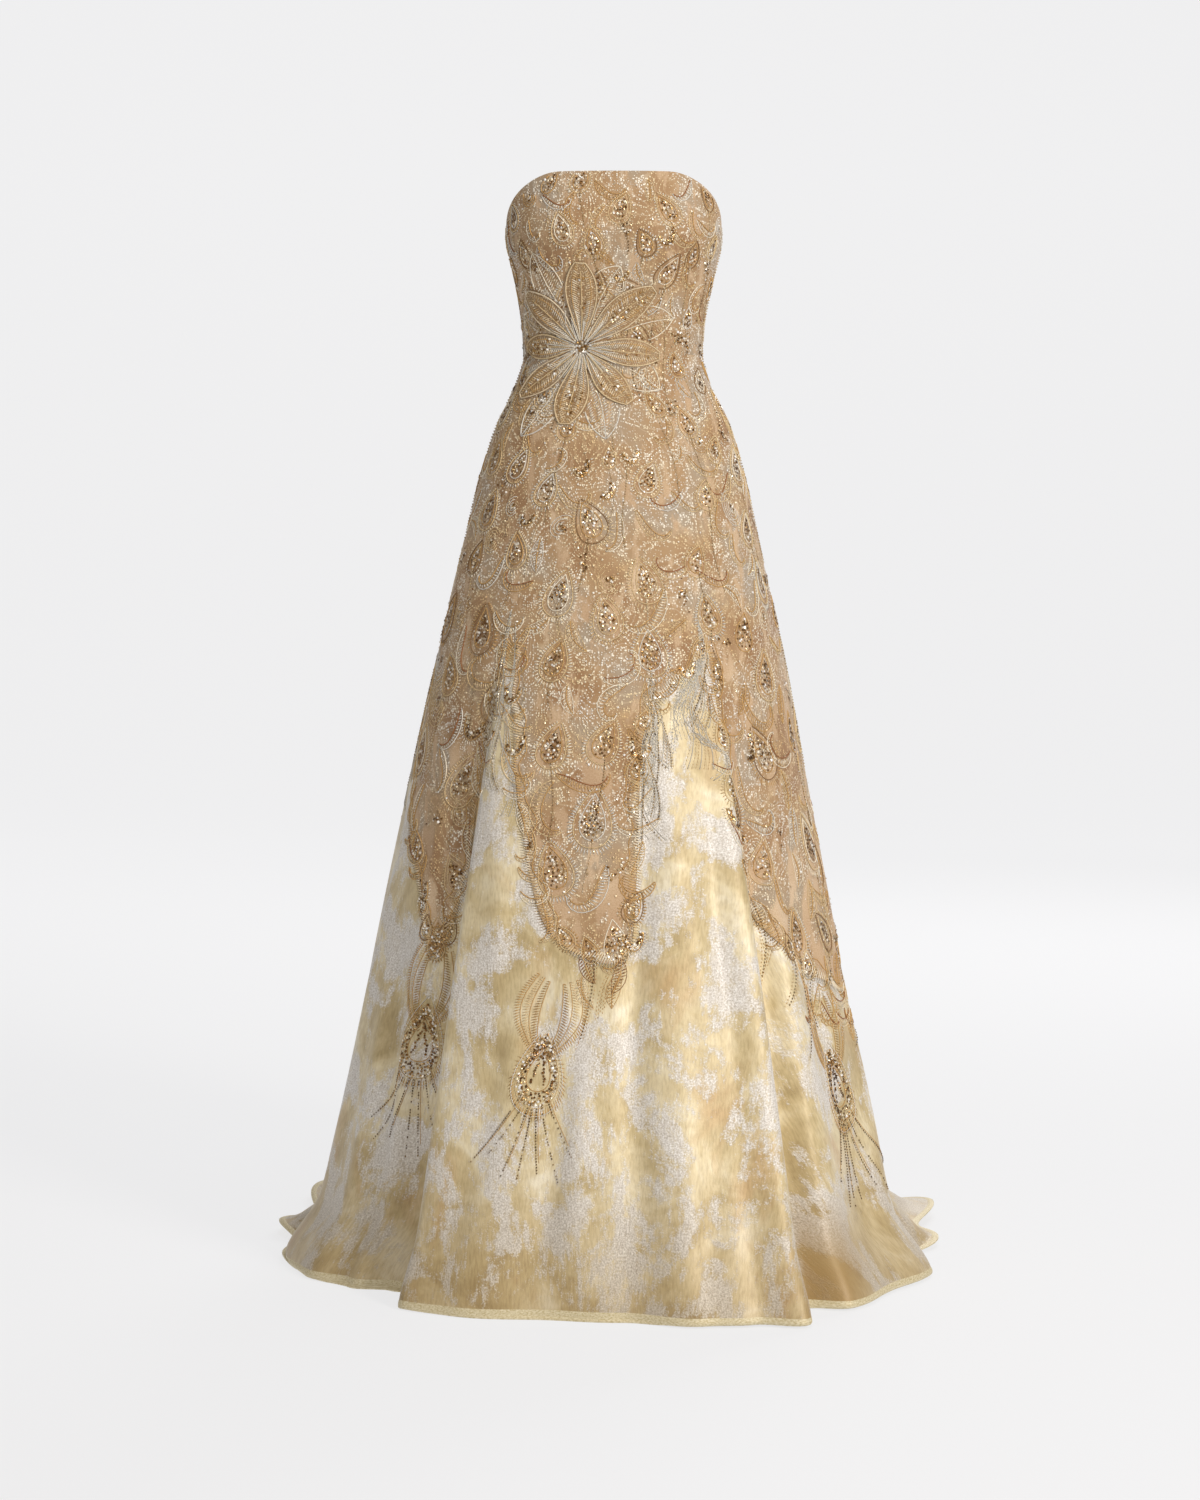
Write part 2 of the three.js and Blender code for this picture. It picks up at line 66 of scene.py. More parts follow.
def addNode(tree, kind, links=None, **settings):
    # one node, its settings by name, and its sockets linked from other nodes or given a value
    node = tree.nodes.new(kind)
    for name, value in settings.items():
        setattr(node, name, value)
    for socket, source in (links or {}).items():
        if isinstance(source, bpy.types.NodeSocket):
            tree.links.new(source, node.inputs[socket])
        else:
            node.inputs[socket].default_value = source
    return node


def newMaterial(name):
    material = bpy.data.materials.new(name)
    material.use_nodes = True
    tree = material.node_tree
    tree.nodes.clear()
    shader = addNode(tree, "ShaderNodeBsdfPrincipled")
    output = addNode(tree, "ShaderNodeOutputMaterial")
    tree.links.new(shader.outputs["BSDF"], output.inputs["Surface"])
    return material, tree, shader


def ramp(tree, source, stops):
    node = addNode(tree, "ShaderNodeValToRGB", {"Fac": source})
    marks = node.color_ramp.elements
    marks[0].position = stops[0][0]
    marks[1].position = stops[-1][0]
    for place, colour in stops[1:-1]:
        marks.new(place)
    for place, colour in stops:
        mark = min(marks, key=lambda m: abs(m.position - place))
        mark.color = linear(colour) if isinstance(colour, str) else (colour, colour, colour, 1)
    return node.outputs["Color"]


def mixColour(tree, share, first, second, blend="MIX"):
    node = addNode(tree, "ShaderNodeMix", data_type="RGBA", blend_type=blend)
    for socket, source in zip((node.inputs[0], node.inputs[6], node.inputs[7]), (share, first, second)):
        if isinstance(source, bpy.types.NodeSocket):
            tree.links.new(source, socket)
        else:
            socket.default_value = source
    return node.outputs[2]


def sums(tree, operation, *terms):
    node = addNode(tree, "ShaderNodeMath", operation=operation)
    for socket, term in zip(node.inputs, terms):
        if isinstance(term, bpy.types.NodeSocket):
            tree.links.new(term, socket)
        else:
            socket.default_value = term
    return node.outputs[0]


def fade(tree, value, low, high, first=0.0, last=1.0):
    # a smooth step between two values
    return addNode(tree, "ShaderNodeMapRange", {
        "Value": value, "From Min": low, "From Max": high, "To Min": first, "To Max": last},
        interpolation_type="SMOOTHSTEP").outputs[0]


def objectAxes(tree):
    return addNode(tree, "ShaderNodeSeparateXYZ", {
        "Vector": addNode(tree, "ShaderNodeTexCoord").outputs["Object"]}).outputs


def tintOf(tree):
    return addNode(tree, "ShaderNodeAttribute", attribute_name="tint").outputs["Fac"]


def addBump(tree, shader, height, strength, distance):
    bump = addNode(tree, "ShaderNodeBump", {"Height": height, "Strength": strength, "Distance": distance})
    tree.links.new(bump.outputs["Normal"], shader.inputs["Normal"])


cameraData = bpy.data.cameras.new("camera")
cameraData.sensor_width = 36
cameraData.lens = stage["lens"]
cameraData.clip_end = 60
camera = bpy.data.objects.new("camera", cameraData)
camera.location = stage["cameraPlace"]
camera.rotation_euler = (math.radians(90 - stage["cameraPitch"]), 0, 0)
bpy.context.scene.collection.objects.link(camera)
bpy.context.scene.camera = camera
bpy.context.scene.view_settings.view_transform = "Standard"


def meshFrom(name, points, faces, smooth=True):
    # a mesh object from points in millimetres and an array of faces with the same number of sides
    mesh = bpy.data.meshes.new(name)
    count, sides = faces.shape
    mesh.vertices.add(len(points))
    mesh.vertices.foreach_set("co", (points * 0.001).astype(np.float32).ravel())
    mesh.loops.add(count * sides)
    mesh.loops.foreach_set("vertex_index", faces.astype(np.int32).ravel())
    mesh.polygons.add(count)
    mesh.polygons.foreach_set("loop_start", np.arange(0, count * sides, sides, dtype=np.int32))
    mesh.polygons.foreach_set("use_smooth", np.full(count, smooth))
    mesh.update(calc_edges=True)
    thing = bpy.data.objects.new(name, mesh)
    bpy.context.scene.collection.objects.link(thing)
    return thing


def setUv(thing, uv):
    # a UV map in metres from one pair of numbers per point
    mesh = thing.data
    index = np.empty(len(mesh.loops), dtype=np.int32)
    mesh.loops.foreach_get("vertex_index", index)
    layer = mesh.uv_layers.new(name="cloth")
    layer.data.foreach_set("uv", (uv[index] * 0.001).astype(np.float32).ravel())


def setTint(thing, values):
    # one number per point that a material reads to pick its shade
    layer = thing.data.attributes.new("tint", "FLOAT", "POINT")
    layer.data.foreach_set("value", values.astype(np.float32))


# A studio sweep: a painted floor that bends up into the wall behind, so that no line shows
def makeSweep():
    far = stage["backWall"]
    bend = stage["bend"]
    profile = [(-stage["half"], 0.0), (0.0, 0.0), (far - bend, 0.0)]
    for k in range(1, 13):
        turn = math.pi / 2 * k / 12
        profile.append((far - bend + bend * math.sin(turn), bend - bend * math.cos(turn)))
    profile.append((far, 9.0))
    points = []
    for x in (-stage["half"], stage["half"]):
        points += [(x * 1000, y * 1000, (stage["floor"] + z) * 1000) for y, z in profile]
    count = len(profile)
    faces = [(k, count + k, count + k + 1, k + 1) for k in range(count - 1)]
    sweep = meshFrom("studioSweep", np.array(points), np.array(faces))
    # matt studio paint: pale and even, in a pool of light of its own that keeps it a flat grey
    material, tree, shader = newMaterial("studio paint")
    shader.inputs["Base Color"].default_value = linear("6E6E6F")
    shader.inputs["Roughness"].default_value = 0.9
    shader.inputs["Specular IOR Level"].default_value = 0.05
    shader.inputs["Emission Strength"].default_value = 1.0
    place = objectAxes(tree)
    sides = fade(tree, sums(tree, "ABSOLUTE", place["X"]), 2.2, 3.6, 1.0, 0.0)
    pool = sums(tree, "MULTIPLY", sides, fade(tree, place["Y"], -2.6, -1.3))
    distance = fade(tree, place["Y"], 0.5, 5.0)
    bright = mixColour(tree, distance, linear(stage["pool"]), linear(stage["poolFar"]))
    tree.links.new(mixColour(tree, pool, linear("A6A6A8"), bright), shader.inputs["Emission Color"])
    sweep.data.materials.append(material)


lights = [
    # name, place, aim, size, watts, colour
    ("key", (2.9, -4.0, 1.3), (0.05, 0.0, -0.4), 1.3, 181, "FFF9F2"),
    ("fill", (-3.4, -3.8, 0.6), (0.0, 0.0, -0.6), 2.4, 15, "FFEFDA"),
    ("top", (0.3, -0.9, 3.2), (0.0, 0.0, -0.6), 1.8, 45, "FFFFFF"),
    ("back", (1.5, 3.6, 1.6), (0.0, 0.2, -0.5), 2.2, 70, "FFFFFF"),
]


def makeLights():
    for name, place, aim, size, watts, colour in lights:
        data = bpy.data.lights.new(name, "AREA")
        data.shape = "DISK"
        data.size = size
        data.energy = watts
        data.color = linear(colour)[:3]
        lamp = bpy.data.objects.new(name, data)
        lamp.location = place
        lamp.rotation_euler = (Vector(aim) - Vector(place)).to_track_quat("-Z", "Y").to_euler()
        bpy.context.scene.collection.objects.link(lamp)
    world = bpy.data.worlds.new("studio")
    world.use_nodes = True
    ground = world.node_tree.nodes["Background"]
    ground.inputs["Color"].default_value = linear("EAE4DB")
    ground.inputs["Strength"].default_value = 0.3
    bpy.context.scene.world = world


makeSweep()
makeLights()
print("stage ready")

# The gown's surface, from the same named sizes and tables as its solids

frontTop = 235.0
waistToFloor = 1205.0
edgeDip = {"fall": 100, "from": 36, "to": 124}
train = {"extra": 230, "from": 60, "curve": 1.5}
floorBend = {"least": 1.2, "most": 34, "fullAt": 60}
trainRipple = {"hollow": 45, "lift": 0.2, "spread": 0.7}
bust = {"at": 31, "above": 150, "out": 9, "wide": 24, "tall": 48}
walls = {"bodice": 2.4, "net": 1.6, "brocade": 1.8, "tape": 1.2}
hemBand = {"tall": 11, "edge": 1.6, "middle": 2.9}
foldGather = 0.12
leanFull = 300.0

sections = np.array([
    # drop, half width, front, back, square, sway
    (-235, 140, 107, 96, 2.35, 9),
    (-158, 143, 121, 97, 2.3, 9),
    (-96, 131, 107, 90, 2.2, 9),
    (-40, 121, 93, 83, 2.1, 8),
    (0, 119, 90, 82, 2.1, 8),
    (35, 128, 97, 91, 2.1, 8),
    (95, 156, 119, 121, 2.05, 8),
    (160, 176, 141, 147, 2, 7),
    (255, 198, 171, 177, 2, 6),
    (383, 228, 212, 219, 2, 5),
    (576, 265, 271, 282, 2, 2),
    (771, 298, 328, 344, 2, 0),
    (1031, 338, 398, 424, 2, -1),
    (1120, 358, 420, 452, 2, -1),
    (1205, 408, 445, 484, 2, 0),
    (1500, 420, 457, 500, 2, 0),
], dtype=float)

folds = np.array([
    # at, out at the floor, drop where it starts, lean
    (-180, -16, 380, 0), (-163, 30, 430, 0), (-150, -30, 460, 0), (-135, 22, 330, 0),
    (-120, -44, 420, 0), (-106, 12, 500, 0), (-97, -8, 460, 0), (-86, 26, 380, 0),
    (-68, 15, 420, 0), (-56, -20, 380, 0), (-49, -62, 340, 0), (-42.5, -86, 330, 0),
    (-36.5, 8, 330, 0), (-27, 0, 380, 0), (-9, -31, 420, 0), (2, -22, 420, 2),
    (15, 31, 420, 5), (22, 46, 380, 7), (28.3, 84, 330, 9), (34.5, -8, 350, 8),
    (41, 44, 480, 6), (55, 27, 480, 2), (70, 42, 440, 0), (82, -34, 420, 0),
    (95, 28, 380, 0), (107, -18, 470, 0), (120, 30, 480, 0), (134, -40, 400, 0),
    (149, 36, 330, 0), (164, -36, 450, 0),
], dtype=float)

netEdge = np.array([
    # at, height of the net's edge above the floor
    (-180, 350), (-135, 800), (-106, 350), (-86, 770), (-71, 592), (-60, 520), (-49, 425),
    (-36.5, 832), (-22, 575), (-15, 478), (-9, 449), (0, 432), (4.6, 452), (7.4, 706),
    (13, 760), (28.3, 822), (30.5, 560), (34.5, 486), (48, 416), (82, 350), (95, 312),
    (113, 770), (134, 350), (154, 800),
], dtype=float)

# Soft creases that cross the main folds: angle and drop at the upper and lower end, half width,
# and how far the cloth stands out (or in, where negative)
creases = np.array([
    (-33, 470, -20, 1000, 26, 5), (-20, 640, -30, 1130, 22, -6), (-12, 760, -3, 1190, 24, 7),
    (-2, 800, -16, 1150, 18, -6), (9, 560, 6, 1160, 16, -7), (16, 520, 22, 1020, 20, 5),
    (24, 620, 14, 1190, 18, -6), (38, 640, 47, 1180, 22, 7), (50, 760, 60, 1190, 24, -8),
    (62, 640, 52, 1100, 26, 6), (76, 700, 66, 1180, 22, 7), (88, 760, 97, 1200, 24, -7),
    (-50, 560, -58, 1160, 22, 6), (-64, 700, -60, 1190, 24, -8), (-75, 620, -84, 1180, 26, 7),
    (-90, 760, -99, 1200, 22, -7), (-112, 640, -104, 1180, 24, 7), (-128, 560, -140, 1250, 30, -8),
    (-146, 700, -152, 1330, 28, 7), (-168, 620, -160, 1300, 30, -7), (-174, 780, -178, 1380, 26, 7),
    (104, 620, 113, 1190, 24, 7), (126, 560, 119, 1210, 26, -8), (142, 640, 150, 1300, 28, 7),
    (157, 600, 149, 1320, 28, -7), (171, 720, 163, 1360, 30, 8), (178, 620, 172, 1330, 26, -6),
    (-24, 150, -14, 520, 20, 1.6), (3, 120, 9, 460, 22, -1.8), (27, 160, 18, 500, 18, 1.8),
    (-48, 170, -56, 560, 24, -2.0), (52, 150, 62, 560, 26, 2.0), (80, 180, 74, 560, 22, -2.0),
    (110, 160, 120, 560, 24, 2.0), (150, 170, 141, 520, 24, -2.0), (-80, 170, -72, 560, 24, 2.0),
    (-118, 160, -126, 560, 24, -2.0), (-155, 170, -147, 520, 24, 2.0),
], dtype=float)


def smooth(x, low, high):
    share = np.clip((x - low) / (high - low), 0, 1)
    return share * share * (3 - 2 * share)


def wrapAngle(angle):
    return (angle + 180.0) % 360.0 - 180.0


def softRamp(x, softness):
    bent = softness * np.log1p(np.exp(np.minimum(x / softness, 30)))
    return np.where(x > 30 * softness, x, bent)


def easyTangents(xs, ys):
    # tangents of a curve through the rows that never overshoots them
    slopes = np.diff(ys) / np.diff(xs)
    before, after = slopes[:-1], slopes[1:]
    total = np.where(before * after > 0, before + after, 1)
    inner = np.where(before * after > 0, 2 * before * after / total, 0)
    return np.concatenate([slopes[:1], inner, slopes[-1:]])


def hermite(share, step, low, high, lowTangent, highTangent):
    rest = 1 - share
    return (low * (1 + 2 * share) * rest * rest + lowTangent * step * share * rest * rest
            + high * (3 - 2 * share) * share * share - highTangent * step * share * share * rest)


sectionTangents = [easyTangents(sections[:, 0], sections[:, k]) for k in range(6)]


def sectionValue(column, drop):
    drops = sections[:, 0]
    reach = np.clip(drop, drops[0], drops[-1])
    row = np.clip(np.searchsorted(drops, reach, side="right") - 1, 0, len(drops) - 2)
    step = drops[row + 1] - drops[row]
    values, tangents = sections[:, column], sectionTangents[column]
    return hermite((reach - drops[row]) / step, step, values[row], values[row + 1],
                   tangents[row], tangents[row + 1])


def sectionRadius(angle, drop):
    sine = np.abs(np.sin(np.radians(angle)))
    cosine = np.cos(np.radians(angle))
    deep = np.where(cosine > 0, sectionValue(2, drop), sectionValue(3, drop))
    square = sectionValue(4, drop)
    x = (sine / sectionValue(1, drop)) ** square
    y = (np.abs(cosine) / deep) ** square
    return (x + y) ** (-1 / square)


def between(table, angle):
    # the rows on either side of an angle, and how far it is from the first to the second
    around = wrapAngle(angle)
    after = np.searchsorted(table[:, 0], around, side="right")
    left = np.clip(after - 1, 0, len(table) - 1)
    right = after % len(table)
    span = table[right, 0] + np.where(after == len(table), 360, 0) - table[left, 0]
    return left, right, (around - table[left, 0]) / span


def foldGrowth(starts, drop):
    along = np.maximum(0, (drop - starts) / (waistToFloor - starts))
    grown = along - foldGather * (1 - np.exp(-along / foldGather))
    whole = 1 - foldGather * (1 - math.exp(-1 / foldGather))
    return np.minimum(grown / whole, 1.1)


def foldOut(angle, drop):
    left, right, share = between(folds, angle)
    ease = (1 - np.cos(np.pi * share)) / 2
    first = folds[left, 1] * foldGrowth(folds[left, 2], drop)
    second = folds[right, 1] * foldGrowth(folds[right, 2], drop)
    return first * (1 - ease) + second * ease


def leaned(angle, drop):
    left, right, share = between(folds, angle)
    lean = folds[left, 3] * (1 - share) + folds[right, 3] * share
    return angle + lean * (1 - np.clip(drop / waistToFloor, 0, 1)) * smooth(drop, 0, leanFull)


def trainExtra(angle):
    return train["extra"] * smooth(np.abs(wrapAngle(angle)), train["from"], 180) ** train["curve"]


def creaseOut(angle, drop):
    # what the soft creases add to the radius
    total = np.zeros(np.broadcast(angle, drop).shape)
    for upAt, upDrop, lowAt, lowDrop, half, out in creases:
        share = (drop - upDrop) / (lowDrop - upDrop)
        bow = upAt + (lowAt - upAt) * share + 2.2 * np.sin(share * 4.1 + upAt)
        away = np.radians(wrapAngle(angle - bow)) * sectionRadius(angle, drop)
        width = half * (0.75 + 0.5 * np.clip(share, 0, 1))
        fade = smooth(share, -0.12, 0.3) * (1 - smooth(share, 0.75, 1.12))
        total += out * fade * np.exp(-(away / width) ** 2)
    return total


def clothPoint(angle, drop, relief=1.0):
    extra = trainExtra(angle)
    softness = floorBend["least"] + (floorBend["most"] - floorBend["least"]) * smooth(
        extra, 0, floorBend["fullAt"])
    above = waistToFloor - drop
    hanging = 1 / (1 + np.exp(np.clip(-above / softness, -60, 60)))
    fold = foldOut(angle, drop)
    ripple = np.maximum(0, fold + trainRipple["hollow"]) * trainRipple["lift"] * (1 - hanging)
    around = leaned(angle, drop)
    away = (np.abs(wrapAngle(around)) - bust["at"]) / bust["wide"]
    high = (drop + bust["above"]) / bust["tall"]
    radius = (sectionRadius(around, drop) + bust["out"] * np.exp(-away * away - high * high)
              + fold * (hanging + trainRipple["spread"] * (1 - hanging)) + softRamp(-above, softness))
    if relief:
        radius = radius + relief * creaseOut(angle, drop) * hanging
    raised = walls["brocade"] * smooth(extra, 0, 20) + ripple * smooth(extra, 0, 40)
    z = raised - waistToFloor + softRamp(above, softness)
    x = sectionValue(5, drop) + radius * np.sin(np.radians(around))
    return np.stack([x, -radius * np.cos(np.radians(around)), z], axis=-1)


def clothNormal(angle, drop):
    sideways = clothPoint(angle + 0.4, drop) - clothPoint(angle - 0.4, drop)
    down = clothPoint(angle, drop + 1) - clothPoint(angle, drop - 1)
    normal = np.cross(down, sideways)
    return normal / np.linalg.norm(normal, axis=-1, keepdims=True)


def skin(angle, drop, height):
    # a place that stands a height off the cloth's outer face
    return clothPoint(angle, drop) + clothNormal(angle, drop) * np.asarray(height)[..., None]


def topDrop(angle):
    fall = smooth(np.abs(wrapAngle(angle)), edgeDip["from"], edgeDip["to"])
    return edgeDip["fall"] * fall - frontTop


def hemDrop(angle):
    return waistToFloor + trainExtra(angle)


def bandDrop(angle):
    return hemDrop(angle) - hemBand["tall"]


def netDrop(angle):
    # level at the foot of a tongue, and pointed at a peak
    left, right, share = between(netEdge, angle)
    ats, ups = netEdge[:, 0], netEdge[:, 1]
    step = (np.roll(ats, -1) - ats) % 360
    climb = (np.roll(ups, -1) - ups) / step
    before = np.roll(climb, 1)
    total = np.where(before * climb > 0, before + climb, 1)
    shared = np.where(before * climb > 0, 2 * before * climb / total, 0)
    peak = (before > 0) & (climb < 0)
    start = np.where(peak, climb, shared)[left]
    end = np.where(peak[right], climb[left], shared[right])
    return waistToFloor - hermite(share, step[left], ups[left], ups[right], start, end)


# The true length round the gown from the centre front, at every angle and drop
chart = {"top": -250.0, "end": 1500.0, "step": 10.0, "perDegree": 2}
chartDrops = np.arange(chart["top"], chart["end"], chart["step"])
chartTurns = np.linspace(-180, 180, 360 * chart["perDegree"] + 1)
chartPoints = clothPoint(chartTurns[None, :], chartDrops[:, None], relief=0)
chartSteps = np.linalg.norm(np.diff(chartPoints, axis=1), axis=2)
chartRound = np.concatenate([np.zeros((len(chartDrops), 1)), np.cumsum(chartSteps, axis=1)], axis=1)
chartRound -= chartRound[:, [180 * chart["perDegree"]]]
# more than any length round, so that all the rows can be searched as one
chartFar = 20000.0


def chartRow(drop):
    # the row of the chart above a drop, and how far the drop is to the next one
    place = np.clip((drop - chart["top"]) / chart["step"], 0, len(chartDrops) - 1.001)
    row = place.astype(int)
    return row, place - row


def roundAt(angle, drop):
    # millimetres round the gown at an angle
    row, part = chartRow(drop)
    place = (angle + 180) * chart["perDegree"]
    column = np.clip(place, 0, len(chartTurns) - 2).astype(int)
    share = place - column
    low = chartRound[row, column] * (1 - share) + chartRound[row, column + 1] * share
    high = chartRound[row + 1, column] * (1 - share) + chartRound[row + 1, column + 1] * share
    return low * (1 - part) + high * part


chartKeys = (chartRound + chartFar * np.arange(len(chartDrops))[:, None]).ravel()
chartAngles = np.tile(chartTurns, len(chartDrops))


def angleAt(girth, drop):
    # the angle at some millimetres round the gown
    row, part = chartRow(drop)
    found = []
    for near in (row, row + 1):
        start = chartRound[near, 0]
        around = (girth - start) % (chartRound[near, -1] - start) + start
        found.append(np.interp(around + chartFar * near, chartKeys, chartAngles))
    turn = wrapAngle(found[1] - found[0])
    return wrapAngle(found[0] + turn * part)


print("surface ready")

# Cloth panels

# the gap at a seam, in millimetres on a section of about the mean radius
seam = {"gap": 0.1, "radius": 150.0}
# the share of a weave's width that follows the true length round the folds, and how far apart the
# panels lie in the pattern
weave = {"true": 0.45, "apart": 13.0}


def columnsBetween(start, end, drop, spacing, marks=()):
    # columns about evenly spaced along the cloth at one drop, with one at each mark
    stops = [start] + [m for m in sorted(marks) if start < m < end] + [end]
    columns = []
    for low, high in zip(stops[:-1], stops[1:]):
        lowRound = roundAt(np.array(float(low)), np.array(float(drop)))
        highRound = roundAt(np.array(float(high)), np.array(float(drop)))
        parts = max(1, int(math.ceil((highRound - lowRound) / spacing)))
        rounds = np.linspace(lowRound, highRound, parts + 1)[:-1]
        columns.append(np.clip(angleAt(rounds, np.full(parts, float(drop))), low, high))
        columns[-1][0] = low
    return np.concatenate(columns + [[end]])


def wallFaces(columns, rows):
    # the quads of a closed wall between two grids, columns first
    at = np.arange(columns * rows).reshape(columns, rows)
    shift = columns * rows
    a, b, c, d = at[:-1, :-1], at[1:, :-1], at[1:, 1:], at[:-1, 1:]
    outer = np.stack([a, d, c, b], axis=-1).reshape(-1, 4)
    inner = np.stack([a, b, c, d], axis=-1).reshape(-1, 4) + shift
    rims = []
    for line, flip in ((at[:, 0], 0), (at[:, -1], 1), (at[0, :], 1), (at[-1, :], 0)):
        near, far = line[:-1], line[1:]
        quads = np.stack([near, far, far + shift, near + shift], axis=-1)
        rims.append(quads[:, ::-1] if flip else quads)
    return np.concatenate([outer, inner] + rims)


def panel(name, columns, top, bottom, rows, wall, sunk=None, crowd=1.0, bulge=0.0):
    # a closed thin wall of cloth between two edges; sunk(angle, drop) is how far its outer face
    # lies under the cloth's, and bulge is how much thicker it is half way down
    angles = columns.copy()
    inset = np.degrees(seam["gap"] / 2 / seam["radius"])
    angles[0] += inset
    angles[-1] -= inset
    share = np.linspace(0, 1, rows) ** crowd
    angle = np.repeat(angles[:, None], rows, axis=1)
    drop = top(angles)[:, None] * (1 - share) + bottom(angles)[:, None] * share
    depth = np.zeros_like(drop) if sunk is None else sunk(angle, drop)
    swell = bulge * np.sin(np.pi * share)[None, :] / 2
    outer = skin(angle, drop, swell - depth)
    inner = skin(angle, drop, -depth - wall - swell)
    points = np.concatenate([outer.reshape(-1, 3), inner.reshape(-1, 3)])
    thing = meshFrom(name, points, wallFaces(len(angles), rows))
    # the cloth's own chart: each panel is laid out from its middle, half by its true length round the
    # folds and half by its angle, so that the weave runs down the panel without kinks
    first, last = angles[0], angles[-1]
    middle = np.full_like(angle, (first + last) / 2)
    whole = roundAt(np.full_like(angle, last), drop) - roundAt(np.full_like(angle, first), drop)
    true = roundAt(angle, drop) - roundAt(middle, drop)
    even = whole * (angle - middle) / (last - first)
    across = weave["true"] * true + (1 - weave["true"]) * even
    uv = np.stack([across + weave["apart"] * (first + last), -drop], axis=-1).reshape(-1, 2)
    setUv(thing, np.concatenate([uv, uv]))
    # 0 on the right side of the cloth, 1 on its plain wrong side
    setTint(thing, np.repeat([0.0, 1.0], angle.size))
    return thing


def smoothByAngle(thing, degrees=40):
    bpy.ops.object.select_all(action="DESELECT")
    thing.select_set(True)
    bpy.context.view_layer.objects.active = thing
    bpy.ops.object.shade_smooth_by_angle(angle=math.radians(degrees))
    thing.select_set(False)


# rows down a panel, millimetres between its columns, and the drop at which they are measured
bodice = {"rows": 40, "spacing": 6.0, "level": -120, "seam": 84}
netSkirt = {"rows": 110, "spacing": 5.6, "level": 620, "right": -86, "left": 95}
gores = {"rows": 84, "spacing": 7.0, "level": 1150, "crowd": 0.85, "tuck": 12.0,
         "backRight": -106, "right": -42.5, "left": 34.5, "backLeft": 134}
band = {"rows": 9, "spacing": 7.0, "level": 1150}

pieces = {}


def finishPiece(thing, slot, *nodes):
    pieces[thing.name] = thing
    smoothByAngle(thing)
    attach(thing, "gown")
    if nodes:
        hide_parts(*nodes)


def waistLine(angle):
    return np.zeros_like(angle)


# Bodice: one front and two backs
for name, node, start, end in (
    ("bodiceFront", "bodice_front", -bodice["seam"], bodice["seam"]),
    ("bodiceBackLeft", "bodice_back_left", bodice["seam"], 180),
    ("bodiceBackRight", "bodice_back_right", -180, -bodice["seam"]),
):
    columns = columnsBetween(start, end, bodice["level"], bodice["spacing"])
    shell = panel(name, columns, topDrop, waistLine, bodice["rows"], walls["bodice"])
    finishPiece(shell, "net", node)

# Net skirt: one front and two backs
for name, node, start, end in (
    ("netFront", "skirt_net_front", netSkirt["right"], netSkirt["left"]),
    ("netBackLeft", "skirt_net_back_left", netSkirt["left"], 180),
    ("netBackRight", "skirt_net_back_right", -180, netSkirt["right"]),
):
    columns = columnsBetween(start, end, netSkirt["level"], netSkirt["spacing"], netEdge[:, 0])
    shell = panel(name, columns, waistLine, netDrop, netSkirt["rows"], walls["net"])
    finishPiece(shell, "net", node)


def goreTop(angle):
    return netDrop(angle) - gores["tuck"]


def goreSunk(angle, drop):
    # the top of a gore lies 0.25 mm under the net's wall, and comes out just below the net's edge
    past = drop - netDrop(angle)
    return (walls["net"] + 0.25) * (1 - smooth(past, 0.4, 9.0))


# Brocade gores, tucked under the net's edge
for name, node, start, end in (
    ("brocadeFront", "brocade_front", gores["right"], gores["left"]),
    ("brocadeSideLeft", "brocade_side_left", gores["left"], gores["backLeft"]),
    ("brocadeSideRight", "brocade_side_right", gores["backRight"], gores["right"]),
    ("brocadeBackLeft", "brocade_back_left", gores["backLeft"], 180),
    ("brocadeBackRight", "brocade_back_right", -180, gores["backRight"]),
):
    columns = columnsBetween(start, end, gores["level"], gores["spacing"], netEdge[:, 0])
    shell = panel(name, columns, goreTop, bandDrop, gores["rows"], walls["brocade"], goreSunk,
                  gores["crowd"])
    finishPiece(shell, "brocade", node)

# Hem binding
for name, node, start, end in (
    ("hemFront", "hem_binding_front", netSkirt["right"], netSkirt["left"]),
    ("hemBackLeft", "hem_binding_back_left", netSkirt["left"], 180),
    ("hemBackRight", "hem_binding_back_right", -180, netSkirt["right"]),
):
    columns = columnsBetween(start, end, band["level"], band["spacing"])
    shell = panel(name, columns, bandDrop, hemDrop, band["rows"], hemBand["edge"], None, 1.0,
                  hemBand["middle"] - hemBand["edge"])
    finishPiece(shell, "binding", node)
print("panels made")

# Flower petals

flower = {"at": -26, "drop": -8, "off": 0.9, "thick": 1.6, "rim": 0.6, "inner": 12,
          "across": 19, "along": 40}
petals = [
    # turn, length, width
    (4, 98, 38), (50, 106, 42), (96, 94, 38), (140, 84, 36),
    (184, 90, 38), (228, 82, 36), (272, 66, 34), (318, 86, 38),
]
flowerRadius = float(sectionRadius(np.array(float(flower["at"])), np.array(float(flower["drop"]))))


def petalHalf(share, wide):
    bulge = np.sin(np.pi * np.maximum(0.96 - 0.9 * share, 0) ** 1.3)
    return wide / 2 * np.maximum(bulge, 0) ** 0.8


def petalPlace(turn, long, wide, side, share):
    # the angle and drop of a place on a petal: side runs -1 to 1 across, share 0 to 1 inwards
    direction = math.radians(turn)
    width = petalHalf(share, wide)
    out = flower["inner"] + long * (1 - share)
    x = math.sin(direction) * out + math.cos(direction) * side * width
    y = math.cos(direction) * out - math.sin(direction) * side * width
    return flower["at"] + np.degrees(x / flowerRadius), flower["drop"] - y


def petalHeight(side, share):
    crown = (1 - side ** 4) * np.sin(np.pi * np.clip(share, 0, 1)) ** 0.4
    return flower["off"] + flower["rim"] + (flower["thick"] - flower["rim"]) * crown


